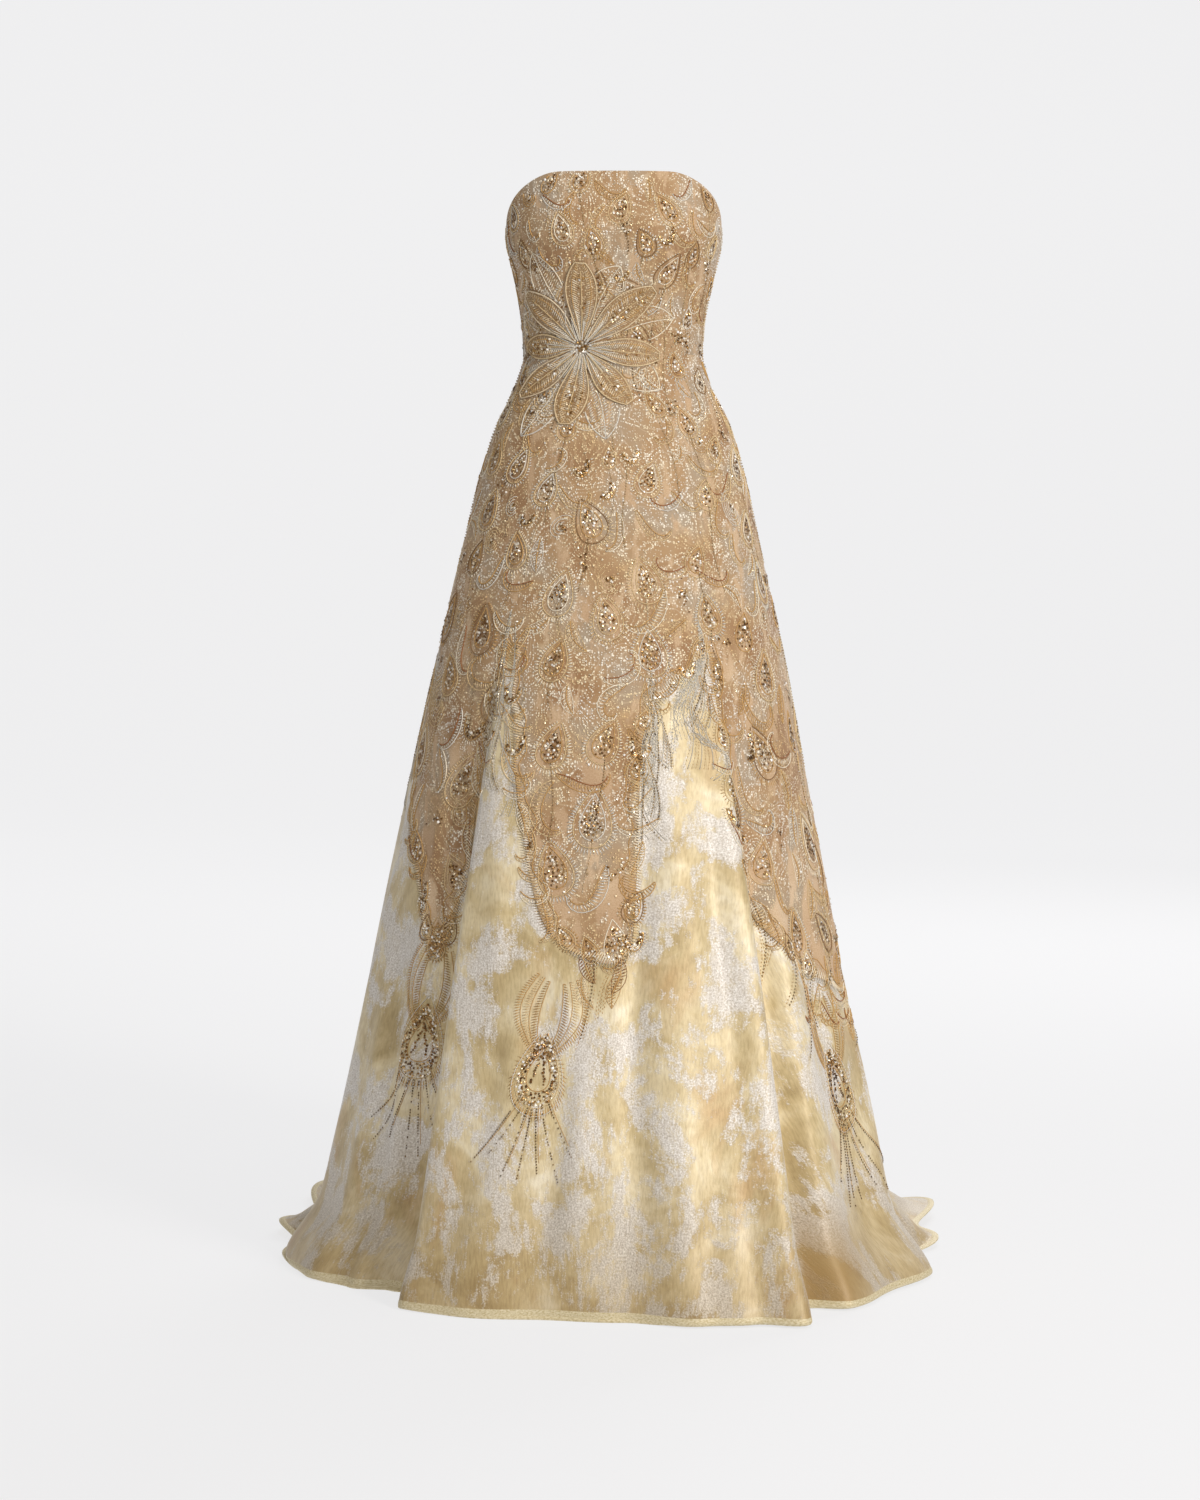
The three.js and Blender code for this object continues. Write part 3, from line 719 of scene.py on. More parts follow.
for number, (turn, long, wide) in enumerate(petals, 1):
    across, along = flower["across"], flower["along"]
    side = np.repeat(np.linspace(-1, 1, across)[:, None], along, axis=1)
    share = np.repeat(np.linspace(0, 1, along)[None, :], across, axis=0)
    angle, drop = petalPlace(turn, long, wide, side, share)
    outer = skin(angle, drop, petalHeight(side, share))
    inner = skin(angle, drop, np.full(side.shape, flower["off"]))
    points = np.concatenate([outer.reshape(-1, 3), inner.reshape(-1, 3)])
    petal = meshFrom("petal%d" % number, points, wallFaces(across, along))
    uv = np.stack([side * wide / 2, long * (1 - share)], axis=-1).reshape(-1, 2)
    setUv(petal, np.concatenate([uv, uv]))
    finishPiece(petal, "petal", "flower_petal_%d" % number)
print("petals made")

# Zip tape

# the tape's half width, its end below the waist, and how far it and the coil lie behind the bodice
zipper = {"half": 11, "end": 190.0, "top": 4, "behind": 0.6, "columns": 7, "rows": 60}
tapeTurn = float(np.degrees(zipper["half"] / sectionRadius(np.array(180.0), np.array(0.0))))


def tapeTop(angle):
    return topDrop(angle) + zipper["top"]


def tapeEnd(angle):
    return np.full_like(angle, zipper["end"])


def tapeSunk(angle, drop):
    return np.full_like(drop, walls["bodice"] + zipper["behind"])


tapeColumns = np.linspace(180 - tapeTurn, 180 + tapeTurn, zipper["columns"])
tape = panel("zipTape", tapeColumns, tapeTop, tapeEnd, zipper["rows"], walls["tape"], tapeSunk)
finishPiece(tape, "tape", "zip_tape")
print("zip tape made")

# Materials


def clothUv(tree, across=1.0, along=1.0):
    uv = addNode(tree, "ShaderNodeUVMap", uv_map="cloth")
    scale = (across, along, 1)
    return addNode(tree, "ShaderNodeMapping", {"Vector": uv.outputs["UV"], "Scale": scale}).outputs[0]


def noise(tree, vector, scale, detail=2.0, roughness=0.5, distortion=0.0):
    return addNode(tree, "ShaderNodeTexNoise", {
        "Vector": vector, "Scale": scale, "Detail": detail, "Roughness": roughness,
        "Distortion": distortion}).outputs["Fac"]


def seedStitches(tree, flat):
    # rows of single stitches 3 mm apart, broken into whorled lines: 1 on a stitch, 0 in the gaps
    field = noise(tree, flat, 15.0, 1.5, 0.45, 0.8)
    lines = sums(tree, "SINE", sums(tree, "MULTIPLY", field, 95.0))
    cells = addNode(tree, "ShaderNodeTexVoronoi", {"Vector": flat, "Scale": 330.0, "Randomness": 0.75})
    dots = ramp(tree, cells.outputs["Distance"], [(0.16, 1.0), (0.52, 0.0)])
    heavy = sums(tree, "ADD", sums(tree, "MULTIPLY", lines, 0.24), sums(tree, "MULTIPLY", dots, 0.86))
    return ramp(tree, heavy, [(0.14, 0.0), (0.72, 1.0)])


def embroideredNet(name="embroidered nude net"):
    # Nude nylon net over a nude ground, covered by fine machine stitching in ivory, gold and silver
    # thread: matt, with a faint shine where the thread lies thick, and plain patches left between.
    material, tree, shader = newMaterial(name)
    flat = clothUv(tree)
    thread = seedStitches(tree, flat)
    # low on the tongues more of the net is left plain
    low = ramp(tree, sums(tree, "ADD", objectAxes(tree)["Z"], 1.0), [(0.15, 0.11), (0.55, 0.0)])
    spread = noise(tree, clothUv(tree, 2.6, 1.0), 14.0, 5.0, 0.62, 0.3)
    patch = ramp(tree, sums(tree, "SUBTRACT", spread, low), [(0.37, 0.0), (0.46, 1.0)])
    ground = ramp(tree, noise(tree, flat, 9.0, 3.0, 0.55),
                  [(0.3, "BA9B7A"), (0.5, "C6AA89"), (0.72, "D6BFA1")])
    mesh = ramp(tree, noise(tree, flat, 560.0, 1.0, 0.5), [(0.35, "D9C8B4"), (0.6, "FFFFFF")])
    ground = mixColour(tree, 0.5, ground, mesh, "MULTIPLY")
    # the gaps between the stitches: the net's own brown ground, darkened further with painted shade under
    # the raised thread
    shadedGaps = ramp(tree, noise(tree, flat, 12.0, 2.0, 0.5),
                [(0.35, "987450"), (0.5, "AB8B66"), (0.65, "A5937D")])
    hue = ramp(tree, noise(tree, flat, 13.0, 2.5, 0.55, 0.4),
               [(0.34, "E2BF8A"), (0.43, "EED8AE"), (0.52, "FBF0DA"), (0.62, "FAF2E4"), (0.7, "EAE7E0")])
    stitched = mixColour(tree, thread, shadedGaps, hue)
    colour = mixColour(tree, patch, ground, stitched)
    # the wrong side is the nude ground cloth alone
    inside = tintOf(tree)
    tree.links.new(mixColour(tree, inside, colour, linear("C6A782")), shader.inputs["Base Color"])
    raised = sums(tree, "MULTIPLY", sums(tree, "MULTIPLY", thread, patch),
                  sums(tree, "SUBTRACT", 1.0, inside))
    tree.links.new(ramp(tree, raised, [(0.0, 0.8), (1.0, 0.45)]), shader.inputs["Roughness"])
    shader.inputs["Sheen Weight"].default_value = 0.1
    addBump(tree, shader, raised, 0.8, 0.0011)
    return material


def cloudBrocade(name="gold and silver lame brocade"):
    # Metal-thread brocade: a champagne gold ground with silver cloud patches whose edges are frayed
    # along the warp. The silver threads lie crinkled, so they glitter; the gold lies smooth, like satin.
    material, tree, shader = newMaterial(name)
    flat = clothUv(tree)
    fibres = noise(tree, clothUv(tree, 330.0, 75.0), 1.0, 3.0, 0.6)
    streaks = noise(tree, clothUv(tree, 120.0, 24.0), 1.0, 3.0, 0.6)
    grain = noise(tree, flat, 430.0, 3.0, 0.65)
    cloud = noise(tree, clothUv(tree, 1.25, 1.0), 9.5, 9.0, 0.66, 0.35)
    fray = sums(tree, "ADD", sums(tree, "MULTIPLY", streaks, 0.2), sums(tree, "MULTIPLY", grain, 0.16))
    field = sums(tree, "ADD", cloud, sums(tree, "SUBTRACT", fray, 0.18))
    silver = ramp(tree, field, [(0.49, 0.0), (0.545, 0.9), (0.6, 1.0)])
    gold = ramp(tree, noise(tree, flat, 10.0, 4.0, 0.6, 0.6),
                [(0.33, "B8A376"), (0.45, "CDBA8E"), (0.56, "E0D1AC"), (0.68, "EEE5CD")])
    # some of the ground runs to a warmer tan
    tan = ramp(tree, noise(tree, clothUv(tree, 1.6, 1.0), 4.2, 4.0, 0.6, 0.4), [(0.56, 0.0), (0.66, 0.8)])
    gold = mixColour(tree, tan, gold, linear("C8A878"))
    pale = ramp(tree, grain, [(0.3, "B7B0A7"), (0.48, "DAD4CC"), (0.66, "F8F5F1")])
    colour = mixColour(tree, silver, gold, pale)
    worn = ramp(tree, fibres, [(0.3, "AC9A7C"), (0.58, "FFFFFF")])
    colour = mixColour(tree, 0.35, colour, worn, "MULTIPLY")
    # the gold facing that shows where the hem turns out beside the train, low on the wearer's left
    place = objectAxes(tree)
    beside = ramp(tree, sums(tree, "ADD", place["X"], sums(tree, "MULTIPLY", place["Z"], 0.12)),
                  [(0.098, 0.0), (0.11, 1.0), (0.16, 1.0), (0.2, 0.0)])
    low = ramp(tree, sums(tree, "ADD", place["Z"], 2.0), [(0.84, 1.0), (0.93, 0.0)])
    front = ramp(tree, sums(tree, "ADD", place["Y"], 1.0), [(0.72, 1.0), (0.78, 0.0)])
    facing = sums(tree, "MULTIPLY", sums(tree, "MULTIPLY", beside, low), front)
    colour = mixColour(tree, sums(tree, "MULTIPLY", facing, 0.85), colour, linear("B79A66"))
    # painted shade: the cloth is darkened towards the hem
    hemShade = ramp(tree, sums(tree, "ADD", place["Z"], 2.0), [(0.8, 0.95), (1.16, 0.0)])
    colour = mixColour(tree, hemShade, colour, linear("D6CCBA"), "MULTIPLY")
    # the wrong side is plain gold
    inside = tintOf(tree)
    colour = mixColour(tree, inside, colour, linear("BFA877"))
    tree.links.new(colour, shader.inputs["Base Color"])
    shader.inputs["Metallic"].default_value = 0.12
    shader.inputs["Coat Weight"].default_value = 0.22
    shader.inputs["Coat Roughness"].default_value = 0.42
    tree.links.new(ramp(tree, grain, [(0.3, 0.62), (0.7, 0.46)]), shader.inputs["Roughness"])
    shader.inputs["Sheen Weight"].default_value = 0.2
    height = sums(tree, "ADD", sums(tree, "MULTIPLY", fibres, 0.5),
                  sums(tree, "MULTIPLY", grain, sums(tree, "ADD", 0.35, silver)))
    addBump(tree, shader, height, 0.6, 0.0009)
    return material


def stitchedPetal(name="satin stitched petal"):
    # dense seed stitching in champagne and silver thread, most silver towards the flower's middle
    material, tree, shader = newMaterial(name)
    flat = clothUv(tree)
    cells = addNode(tree, "ShaderNodeTexVoronoi", {"Vector": clothUv(tree, 1.0, 1.0), "Scale": 340.0,
                                                   "Randomness": 0.55})
    dots = ramp(tree, cells.outputs["Distance"], [(0.18, 1.0), (0.5, 0.0)])
    away = addNode(tree, "ShaderNodeSeparateXYZ", {"Vector": flat}).outputs["Y"]
    near = ramp(tree, sums(tree, "ADD", sums(tree, "MULTIPLY", away, 10.0),
                           noise(tree, flat, 45.0, 2.0, 0.6)), [(0.6, 1.0), (0.95, 0.0)])
    warm = mixColour(tree, dots, linear("9C7C55"), linear("E2CBA6"))
    cool = mixColour(tree, dots, linear("968B7A"), linear("E2DCD0"))
    tree.links.new(mixColour(tree, near, warm, cool), shader.inputs["Base Color"])
    shader.inputs["Roughness"].default_value = 0.5
    shader.inputs["Metallic"].default_value = 0.1
    addBump(tree, shader, dots, 0.8, 0.0011)
    return material


def plainCloth(name, colour, dark, metallic, roughness, across, along):
    material, tree, shader = newMaterial(name)
    weave = noise(tree, clothUv(tree, across, along), 1.0, 2.0, 0.6)
    tree.links.new(ramp(tree, weave, [(0.35, dark), (0.62, colour)]), shader.inputs["Base Color"])
    shader.inputs["Metallic"].default_value = metallic
    shader.inputs["Roughness"].default_value = roughness
    addBump(tree, shader, weave, 0.5, 0.0005)
    return material


netMaterial = embroideredNet()
brocadeMaterial = cloudBrocade()
petalMaterial = stitchedPetal()
# bias binding of the brocade's gold ground
bindingMaterial = plainCloth("gold lame bias binding", "D8CDAE", "B9A97F", 0.1, 0.55, 300.0, 500.0)
# nude polyester zip tape, woven in 1 mm ribs
tapeMaterial = plainCloth("woven polyester tape", "C9AE88", "AE926B", 0.0, 0.8, 700.0, 700.0)

clothMaterials = {"bodice": netMaterial, "net": netMaterial, "brocade": brocadeMaterial,
                  "hem": bindingMaterial, "petal": petalMaterial, "zip": tapeMaterial}
for name, thing in pieces.items():
    for start, material in clothMaterials.items():
        if name.startswith(start):
            thing.data.materials.append(material)


def brassPlate(name="brass plated zinc"):
    # die-cast zinc with a brass plating: warm, lightly brushed, a little duller in the hollows
    material, tree, shader = newMaterial(name)
    place = addNode(tree, "ShaderNodeTexCoord").outputs["Object"]
    wear = noise(tree, place, 900.0, 3.0, 0.6)
    tree.links.new(ramp(tree, wear, [(0.35, "8E6F3C"), (0.6, "C3A264")]), shader.inputs["Base Color"])
    tree.links.new(ramp(tree, wear, [(0.3, 0.42), (0.7, 0.24)]), shader.inputs["Roughness"])
    shader.inputs["Metallic"].default_value = 1.0
    return material


brassMaterial = brassPlate()
for node in ("zip_slider", "zip_pull"):
    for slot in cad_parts[node].material_slots:
        slot.material = brassMaterial
print("materials made")

# Embroidery: an all-over design of drops, hairpin bands, scrolls, leaves, crescents and bead trails.
# Each motif is set out flat in millimetres, x to the left of the wearer and y down, round its own
# centre, and is laid on the cloth at an angle and a drop.

dice = np.random.default_rng(20)
work = {"stitches": [], "edging": [], "feathers": [], "cords": [], "sequins": [], "beads": []}
# while this is on, a motif may run past the net's edge on to the brocade
loose = {"on": False}

sizes = {
    "stitchGap": 3.3, "stitchWide": 2.0, "stitchHigh": 0.75,
    "cordWide": 1.5, "cordStep": 4.6,
    "sequin": 1.8, "bead": 1.0, "beadGap": 3.4,
}
tints = {"rust": 0.0, "brown": 0.14, "gold": 0.32, "champagne": 0.5, "ivory": 0.68, "silver": 0.86,
         "grey": 1.0}
# an angle in radians that spreads points evenly over a disc
spiralTurn = 2.399


def turned(points, turn, scale=1.0, flip=1.0):
    # local points turned clockwise by degrees, seen with y down
    cosine, sine = math.cos(math.radians(turn)), math.sin(math.radians(turn))
    x, y = points[..., 0] * flip * scale, points[..., 1] * scale
    return np.stack([x * cosine - y * sine, x * sine + y * cosine], axis=-1)


def dropOutline(long, wide, count, start=0.0, end=1.0):
    # a drop with its point at the top
    a = 2 * np.pi * np.linspace(start, end, count)
    across = wide / 2 * 1.25 * np.sin(a) * np.maximum(np.sin(a / 2), 0) ** 1.1
    return np.stack([across, -np.cos(a) * long / 2], axis=-1)


def addStitches(ends, place, tint, wide=None):
    # ends: n x 2 x 2, from and to
    count = len(ends)
    shade = np.clip(tint + dice.normal(0, 0.05, count), 0, 1)
    kind = "edging" if loose["on"] else "stitches"
    work[kind].append((ends, np.tile(place, (count, 1)), shade,
                       np.full(count, wide or sizes["stitchWide"])))


def addCord(path, place, tint, wide=None, free=False):
    work["cords"].append((path, place, tint, wide or sizes["cordWide"], free or loose["on"]))


def addSequins(points, place, low, high, free=False, size=None):
    count = len(points)
    shade = np.clip(low + (high - low) * dice.random(count) ** 1.2, 0, 1)
    work["sequins"].append((points, np.tile(place, (count, 1)), shade,
                            np.full(count, size or sizes["sequin"]) * dice.uniform(0.8, 1.15, count),
                            np.full(count, free or loose["on"])))


def addBeads(points, place, shade, free=False):
    count = len(points)
    shades = np.clip(shade + dice.normal(0, 0.12, count), 0, 1)
    work["beads"].append((points, np.tile(place, (count, 1)), shades,
                          np.full(count, free or loose["on"])))


def alongPath(path, gap):
    # places every gap along a path, with the direction there
    steps = np.linalg.norm(np.diff(path, axis=0), axis=1)
    length = np.concatenate([[0], np.cumsum(steps)])
    count = max(2, int(length[-1] / gap))
    at = np.linspace(0, length[-1], count)
    points = np.stack([np.interp(at, length, path[:, k]) for k in (0, 1)], axis=-1)
    ahead = np.gradient(points, axis=0)
    ahead /= np.maximum(np.linalg.norm(ahead, axis=1, keepdims=True), 1e-6)
    return points, ahead, at / length[-1]


def leftOf(ahead):
    return np.stack([-ahead[:, 1], ahead[:, 0]], axis=-1)


def onPath(share):
    # a comb's inner end, on its path
    return 0 * share


def combAlong(path, low, high, place, tint, slant=0.25):
    # stitches across a path, from low to high on its left side (functions of the share along it)
    points, ahead, share = alongPath(path, sizes["stitchGap"])
    left = leftOf(ahead)
    lean = left + slant * ahead
    near = points + lean * low(share)[:, None]
    far = points + lean * (high(share) * dice.uniform(0.85, 1.12, len(share)))[:, None]
    addStitches(np.stack([near, far], axis=1), place, tint)


def dashRow(path, place, tint, gap=4.4, long=3.0, wide=1.35):
    # a line of single stitches that follow each other along a path
    points, ahead, _ = alongPath(path, gap)
    ends = np.stack([points - ahead * long / 2, points + ahead * long / 2], axis=1)
    addStitches(ends, place, tint, wide)


def dropMotif(place, scale, turn, tint, band=True):
    # a drop filled with sequins inside a cord, and most often a hairpin band of comb stitches round it
    long, wide = 46 * scale, 27 * scale
    count = int(44 * scale * scale)
    k = np.arange(count)
    out, around = np.sqrt((k + 0.5) / count) * 0.86, k * spiralTurn + dice.random() * 6
    across = wide / 2 * 1.25 * np.sin(around) * np.abs(np.sin(around / 2)) ** 0.8 * out
    points = np.stack([across, -np.cos(around) * long / 2 * out + long * 0.06], axis=-1)
    points += dice.normal(0, 0.8, points.shape)
    dark = dice.uniform(0.0, 0.3)
    addSequins(turned(points, turn), place, dark, 1.0)
    edge = tints["gold"] if dice.random() < 0.6 else tint
    addCord(turned(dropOutline(long * 1.06, wide * 1.08, 26), turn), place, edge)
    if band:
        hair = dropOutline(long * 1.4, wide * 1.6, 44, 0.08, 0.92)
        reach = dice.uniform(8, 12) * scale
        combAlong(turned(hair, turn), onPath,
                  lambda t: -reach * (0.3 + 0.7 * np.sin(np.pi * t) ** 0.6), place, tint, 0.2)
        addCord(turned(dropOutline(long * 1.4, wide * 1.6, 40, 0.06, 0.94), turn), place,
                tints["champagne"] if dice.random() < 0.75 else tints["brown"])


def bandWidth(share):
    return 0.25 + 0.75 * np.sin(np.pi * share ** 0.8)


def scrollMotif(place, scale, turn, tint):
    # a comb-stitched band that curls in at its end
    along = np.linspace(0, 1, 60)
    curl = dice.uniform(2.2, 4.2)
    heading = 0.5 * np.sin(2.4 * along + dice.random() * 3) + curl * along ** 2.6
    step = 78 * scale / 60
    spine = np.stack([np.cumsum(np.sin(heading)) * step, np.cumsum(np.cos(heading)) * step], axis=-1)
    spine -= spine.mean(axis=0)
    flip = 1 if dice.random() < 0.5 else -1
    spine = turned(spine, turn, 1.0, flip)
    reach = dice.uniform(9, 14) * scale
    combAlong(spine, onPath, lambda t: flip * reach * bandWidth(t), place, tint, 0.35)
    addCord(spine[::3], place, tints["gold"] if dice.random() < 0.8 else tints["rust"])
    points, ahead, share = alongPath(spine, 4.6)
    edge = points + leftOf(ahead) * (flip * 1.1 * reach * bandWidth(share))[:, None]
    addCord(edge, place, tint)


def leafMotif(place, scale, turn, tint):
    # a bowed rib with slanted stitches on both sides
    long = 56 * scale
    t = np.linspace(0, 1, 16)
    bow = dice.uniform(-9, 9)
    rib = turned(np.stack([bow * np.sin(np.pi * t), (t - 0.5) * long], axis=-1), turn)
    addCord(rib, place, tints["gold"])
    reach = 10.5 * scale
    for side in (-1, 1):
        combAlong(rib, onPath, lambda u: side * reach * np.sin(np.pi * u ** 0.75) + 0.01,
                  place, tint, 0.6)
        points, ahead, share = alongPath(rib, 4.6)
        addCord(points + leftOf(ahead) * (side * reach * 1.05 * np.sin(np.pi * share ** 0.75))[:, None]
                + ahead * (0.55 * reach * np.sin(np.pi * share))[:, None], place, tint, 1.0)


def whorlMotif(place, scale, turn, tint):
    # thin cords one inside the other
    sweep = dice.uniform(200, 300)
    for k in range(int(dice.integers(3, 6))):
        radius = (6 + 4.4 * k) * scale
        count = max(8, int(math.radians(sweep) * radius / sizes["cordStep"]))
        a = np.radians(np.linspace(0, sweep, count) + 12 * k)
        grow = 1 + 0.12 * np.linspace(0, 1, count)
        path = np.stack([radius * grow * np.cos(a), 1.25 * radius * grow * np.sin(a)], axis=-1)
        addCord(turned(path, turn), place, tint, 1.0)
    addSequins(turned(dice.normal(0, 3.2 * scale, (9, 2)), turn), place, 0.2, 1.0)


def clusterMotif(place, scale, turn, count=None):
    # a loose heap of sequins
    count = count or int(dice.integers(9, 20))
    points = dice.normal(0, 1, (count, 2)) * np.array([4.6, 9.5]) * scale
    addSequins(turned(points, turn), place, 0.1, 1.0)


def crescentMotif(place, scale, turn):
    # a bent band of sequins with a comb of stitches on its outer side
    a = np.radians(np.linspace(0, dice.uniform(120, 200), 40))
    radius = 17 * scale
    arc = np.stack([radius * np.cos(a), 1.5 * radius * np.sin(a)], axis=-1)
    band = np.concatenate([arc * (1 - 0.11 * k) + dice.normal(0, 0.7, arc.shape) for k in range(3)])
    addSequins(turned(band, turn)[::2], place, dice.uniform(0.0, 0.3), 1.0)
    combAlong(turned(arc * 1.15, turn), onPath, lambda t: -8 * scale + 0 * t, place, tints["ivory"])
    addCord(turned(arc[::3] * 1.13, turn), place, tints["gold"])


def leafWidth(share):
    return np.sin(np.pi * share ** 0.75) ** 0.8


def bigLeaf(place, long, reach, turn, tint, edge):
    # a wide leaf outline with long slanted stitches on both sides of its rib
    bow = 5 * np.sin(np.pi * np.linspace(0, 1, 24))
    rib = turned(np.stack([bow, np.linspace(-0.5, 0.5, 24) * long], axis=-1), turn)
    addCord(rib, place, edge)
    for side in (-1, 1):
        for near, far in ((0.05, 0.48), (0.54, 0.98)):
            combAlong(rib, lambda u: near * side * reach * leafWidth(u),
                      lambda u: far * side * reach * leafWidth(u) + 0.01, place, tint, 0.5)
        points, ahead, share = alongPath(rib, 4.2)
        addCord(points + leftOf(ahead) * (side * reach * 1.08 * leafWidth(share))[:, None]
                + ahead * (0.5 * reach * np.sin(np.pi * share))[:, None], place, edge, 2.0)


def beadTrail(place, long, tint, wave=5.0):
    t = np.linspace(0, 1, int(long / sizes["beadGap"]))
    x = wave * np.sin(t * dice.uniform(2, 4.5) + dice.random() * 6)
    addBeads(np.stack([x - x[0], t * long], axis=-1), place, tint)


def netPlaces(gap, tries, keep=()):
    # scattered places on the net, at least a gap apart, as angle and drop; gap is a function of drop
    rounds, drops = [], []
    for at, drop, far in keep:
        rounds.append(float(roundAt(np.array(at), np.array(drop))))
        drops.append(drop)
    fresh = []
    drop = dice.uniform(-226, 880, tries)
    widest = 1350.0
    around = dice.uniform(-widest, widest, tries)
    low = roundAt(np.full(tries, -180.0), drop)
    high = roundAt(np.full(tries, 180.0), drop)
    inside = (around > low) & (around < high)
    around, drop = around[inside], drop[inside]
    angle = angleAt(around, drop)
    good = (drop > topDrop(angle) + 9) & (drop < netDrop(angle) - 8)
    around, drop, angle = around[good], drop[good], angle[good]
    for at, girth, down in zip(angle, around, drop):
        far = gap(down)
        if rounds:
            away = np.hypot(np.array(rounds) - girth, (np.array(drops) - down) * 0.8)
            if away.min() < far:
                continue
        rounds.append(girth)
        drops.append(down)
        fresh.append((float(at), float(down), far))
    return fresh


def grow(drop):
    # motifs are smaller on the bodice than low on the skirt
    return 0.66 + 0.42 * float(smooth(np.array(drop), -60, 520))


threadShades = ("gold", "champagne", "ivory", "ivory", "champagne", "silver")


def anyTint():
    return tints[threadShades[int(dice.integers(0, len(threadShades)))]]


def besideFlower(turn, out):
    # the place some millimetres from the flower's middle, clockwise from straight up
    x, y = out * math.sin(math.radians(turn)), out * math.cos(math.radians(turn))
    return flower["at"] + math.degrees(x / flowerRadius), flower["drop"] - y


# Wide leaves between and beyond the raised petals of the flower, silver below it
bigLeaves = [
    # turn, out, length, shade
    (27, 74, 84, "ivory"), (73, 84, 92, "champagne"), (118, 74, 84, "ivory"), (162, 82, 88, "silver"),
    (206, 84, 88, "silver"), (250, 66, 70, "silver"), (296, 64, 70, "champagne"), (340, 88, 84, "ivory"),
]
bigLeafReach = 21
for turn, out, long, tint in bigLeaves:
    edge = "silver" if tint == "silver" else "ivory"
    bigLeaf(besideFlower(turn, out), long, bigLeafReach, turn + 180, tints[tint], tints[edge])
for turn, out in ((10, 128), (62, 64), (84, 132), (152, 58), (218, 60), (262, 84), (330, 62)):
    clusterMotif(besideFlower(turn, out), 0.9, turn, 26)

# millimetres between motifs where they are at full size, and how many places are tried
spacing = {"drops": 62, "others": 34, "sequins": 12.5}
dropPlaces = netPlaces(lambda d: spacing["drops"] * grow(d), 9000)
for at, drop, far in dropPlaces:
    size = grow(drop) * dice.uniform(0.8, 1.15)
    dropMotif((at, drop), size, dice.normal(0, 16), anyTint(), dice.random() < 0.8)
    if dice.random() < 0.8:
        beadTrail((at, drop + 26 * size), dice.uniform(40, 110), 0.3 + 0.6 * dice.random())
others = netPlaces(lambda d: spacing["others"] * grow(d), 16000, dropPlaces)
for at, drop, far in others:
    size = grow(drop) * dice.uniform(0.75, 1.05)
    pick = dice.random()
    turn = dice.normal(0, 30)
    if pick < 0.42:
        scrollMotif((at, drop), size, turn, anyTint())
    elif pick < 0.62:
        leafMotif((at, drop), size * 0.85, turn, anyTint())
    elif pick < 0.74:
        whorlMotif((at, drop), size, turn, anyTint())
    elif pick < 0.84:
        clusterMotif((at, drop), size, turn)
    elif pick < 0.93:
        crescentMotif((at, drop), size, turn)
    else:
        beadTrail((at, drop - 20), dice.uniform(50, 110), 0.5 + 0.4 * dice.random())
# Single sequins between the motifs, mostly in the pale shades that are painted glints
for at, drop, far in netPlaces(lambda d: spacing["sequins"] * grow(d), 14000):
    addSequins(dice.normal(0, 3, (1, 2)), (at, drop), 0.6, 1.0, False, 1.5)
print("motifs", len(dropPlaces), len(others))

# Along the net's edge: a comb-stitched border, and fine threads that sweep down over the brocade.
# reach is up on to the net, over is down on to the brocade, and every nth row may carry a sweep.
border = {"reach": 16.0, "over": 8.0, "gap": 3.5, "wide": 2.3, "sweepEvery": 9}


def edgeLength(angles):
    # millimetres along the net's edge
    points = clothPoint(angles, netDrop(angles), relief=0)
    return np.concatenate([[0], np.cumsum(np.linalg.norm(np.diff(points, axis=0), axis=1))])


def addBorder():
    angles = np.linspace(-180, 180, 5400)
    drops = netDrop(angles)
    length = edgeLength(angles)
    at = np.arange(0, length[-1], border["gap"])
    angle, drop = np.interp(at, length, angles), np.interp(at, length, drops)
    around = roundAt(angle, drop)
    ahead = np.stack([np.gradient(around), np.gradient(drop)], axis=-1)
    ahead /= np.maximum(np.linalg.norm(ahead, axis=1, keepdims=True), 1e-6)
    up = np.stack([ahead[:, 1], -ahead[:, 0]], axis=-1) + 0.3 * ahead
    reach = border["reach"] * (0.8 + 0.35 * np.sin(at / 19.0) + 0.2 * np.sin(at / 7.3))
    ends = np.stack([-up * border["over"], up * reach[:, None]], axis=1)
    places = np.stack([angle, drop], axis=-1)
    shade = np.clip(0.5 + 0.16 * np.sin(at / 31.0) + dice.normal(0, 0.06, len(at)), 0, 1)
    work["edging"].append((ends, places, shade, np.full(len(at), border["wide"])))
    # the border's upper cord
    for start in range(0, len(at) - 1, 40):
        some = slice(start, min(start + 41, len(at)), 2)
        inner = np.stack([angle[some], drop[some]], axis=-1)
        if len(inner) > 2:
            work["cords"].append(((up * (reach * 1.04)[:, None])[some], inner, tints["gold"], 1.4, False))
    # combed rows of stitches and bead strands that sweep on to the brocade from the feet of the tongues
    loose["on"] = True
    turnings = [k for k in range(4, len(at) - 4) if abs(ahead[k, 1]) < 0.8]
    for k in turnings[::border["sweepEvery"]]:
        if dice.random() < 0.3:
            continue
        long = dice.uniform(70, 130)
        sway = dice.normal(0, 22)
        bend = dice.normal(0, 10)
        kind = ("champagne", "ivory", "silver", "gold", "silver")[int(dice.integers(0, 5))]
        for row in range(int(dice.integers(4, 8))):
            t = np.linspace(0, 1, 16)
            path = np.stack([2.8 * row + sway * t ** 1.5 + bend * np.sin(np.pi * t),
                             -6 + dice.uniform(-4, 8) + long * t * (1 - 0.05 * row)], axis=-1)
            if row == 2 and dice.random() < 0.5:
                addBeads(alongPath(path, 4.0)[0], (float(angle[k]), float(drop[k])), 0.25)
            else:
                dashRow(path, (float(angle[k]), float(drop[k])), tints[kind])
    loose["on"] = False


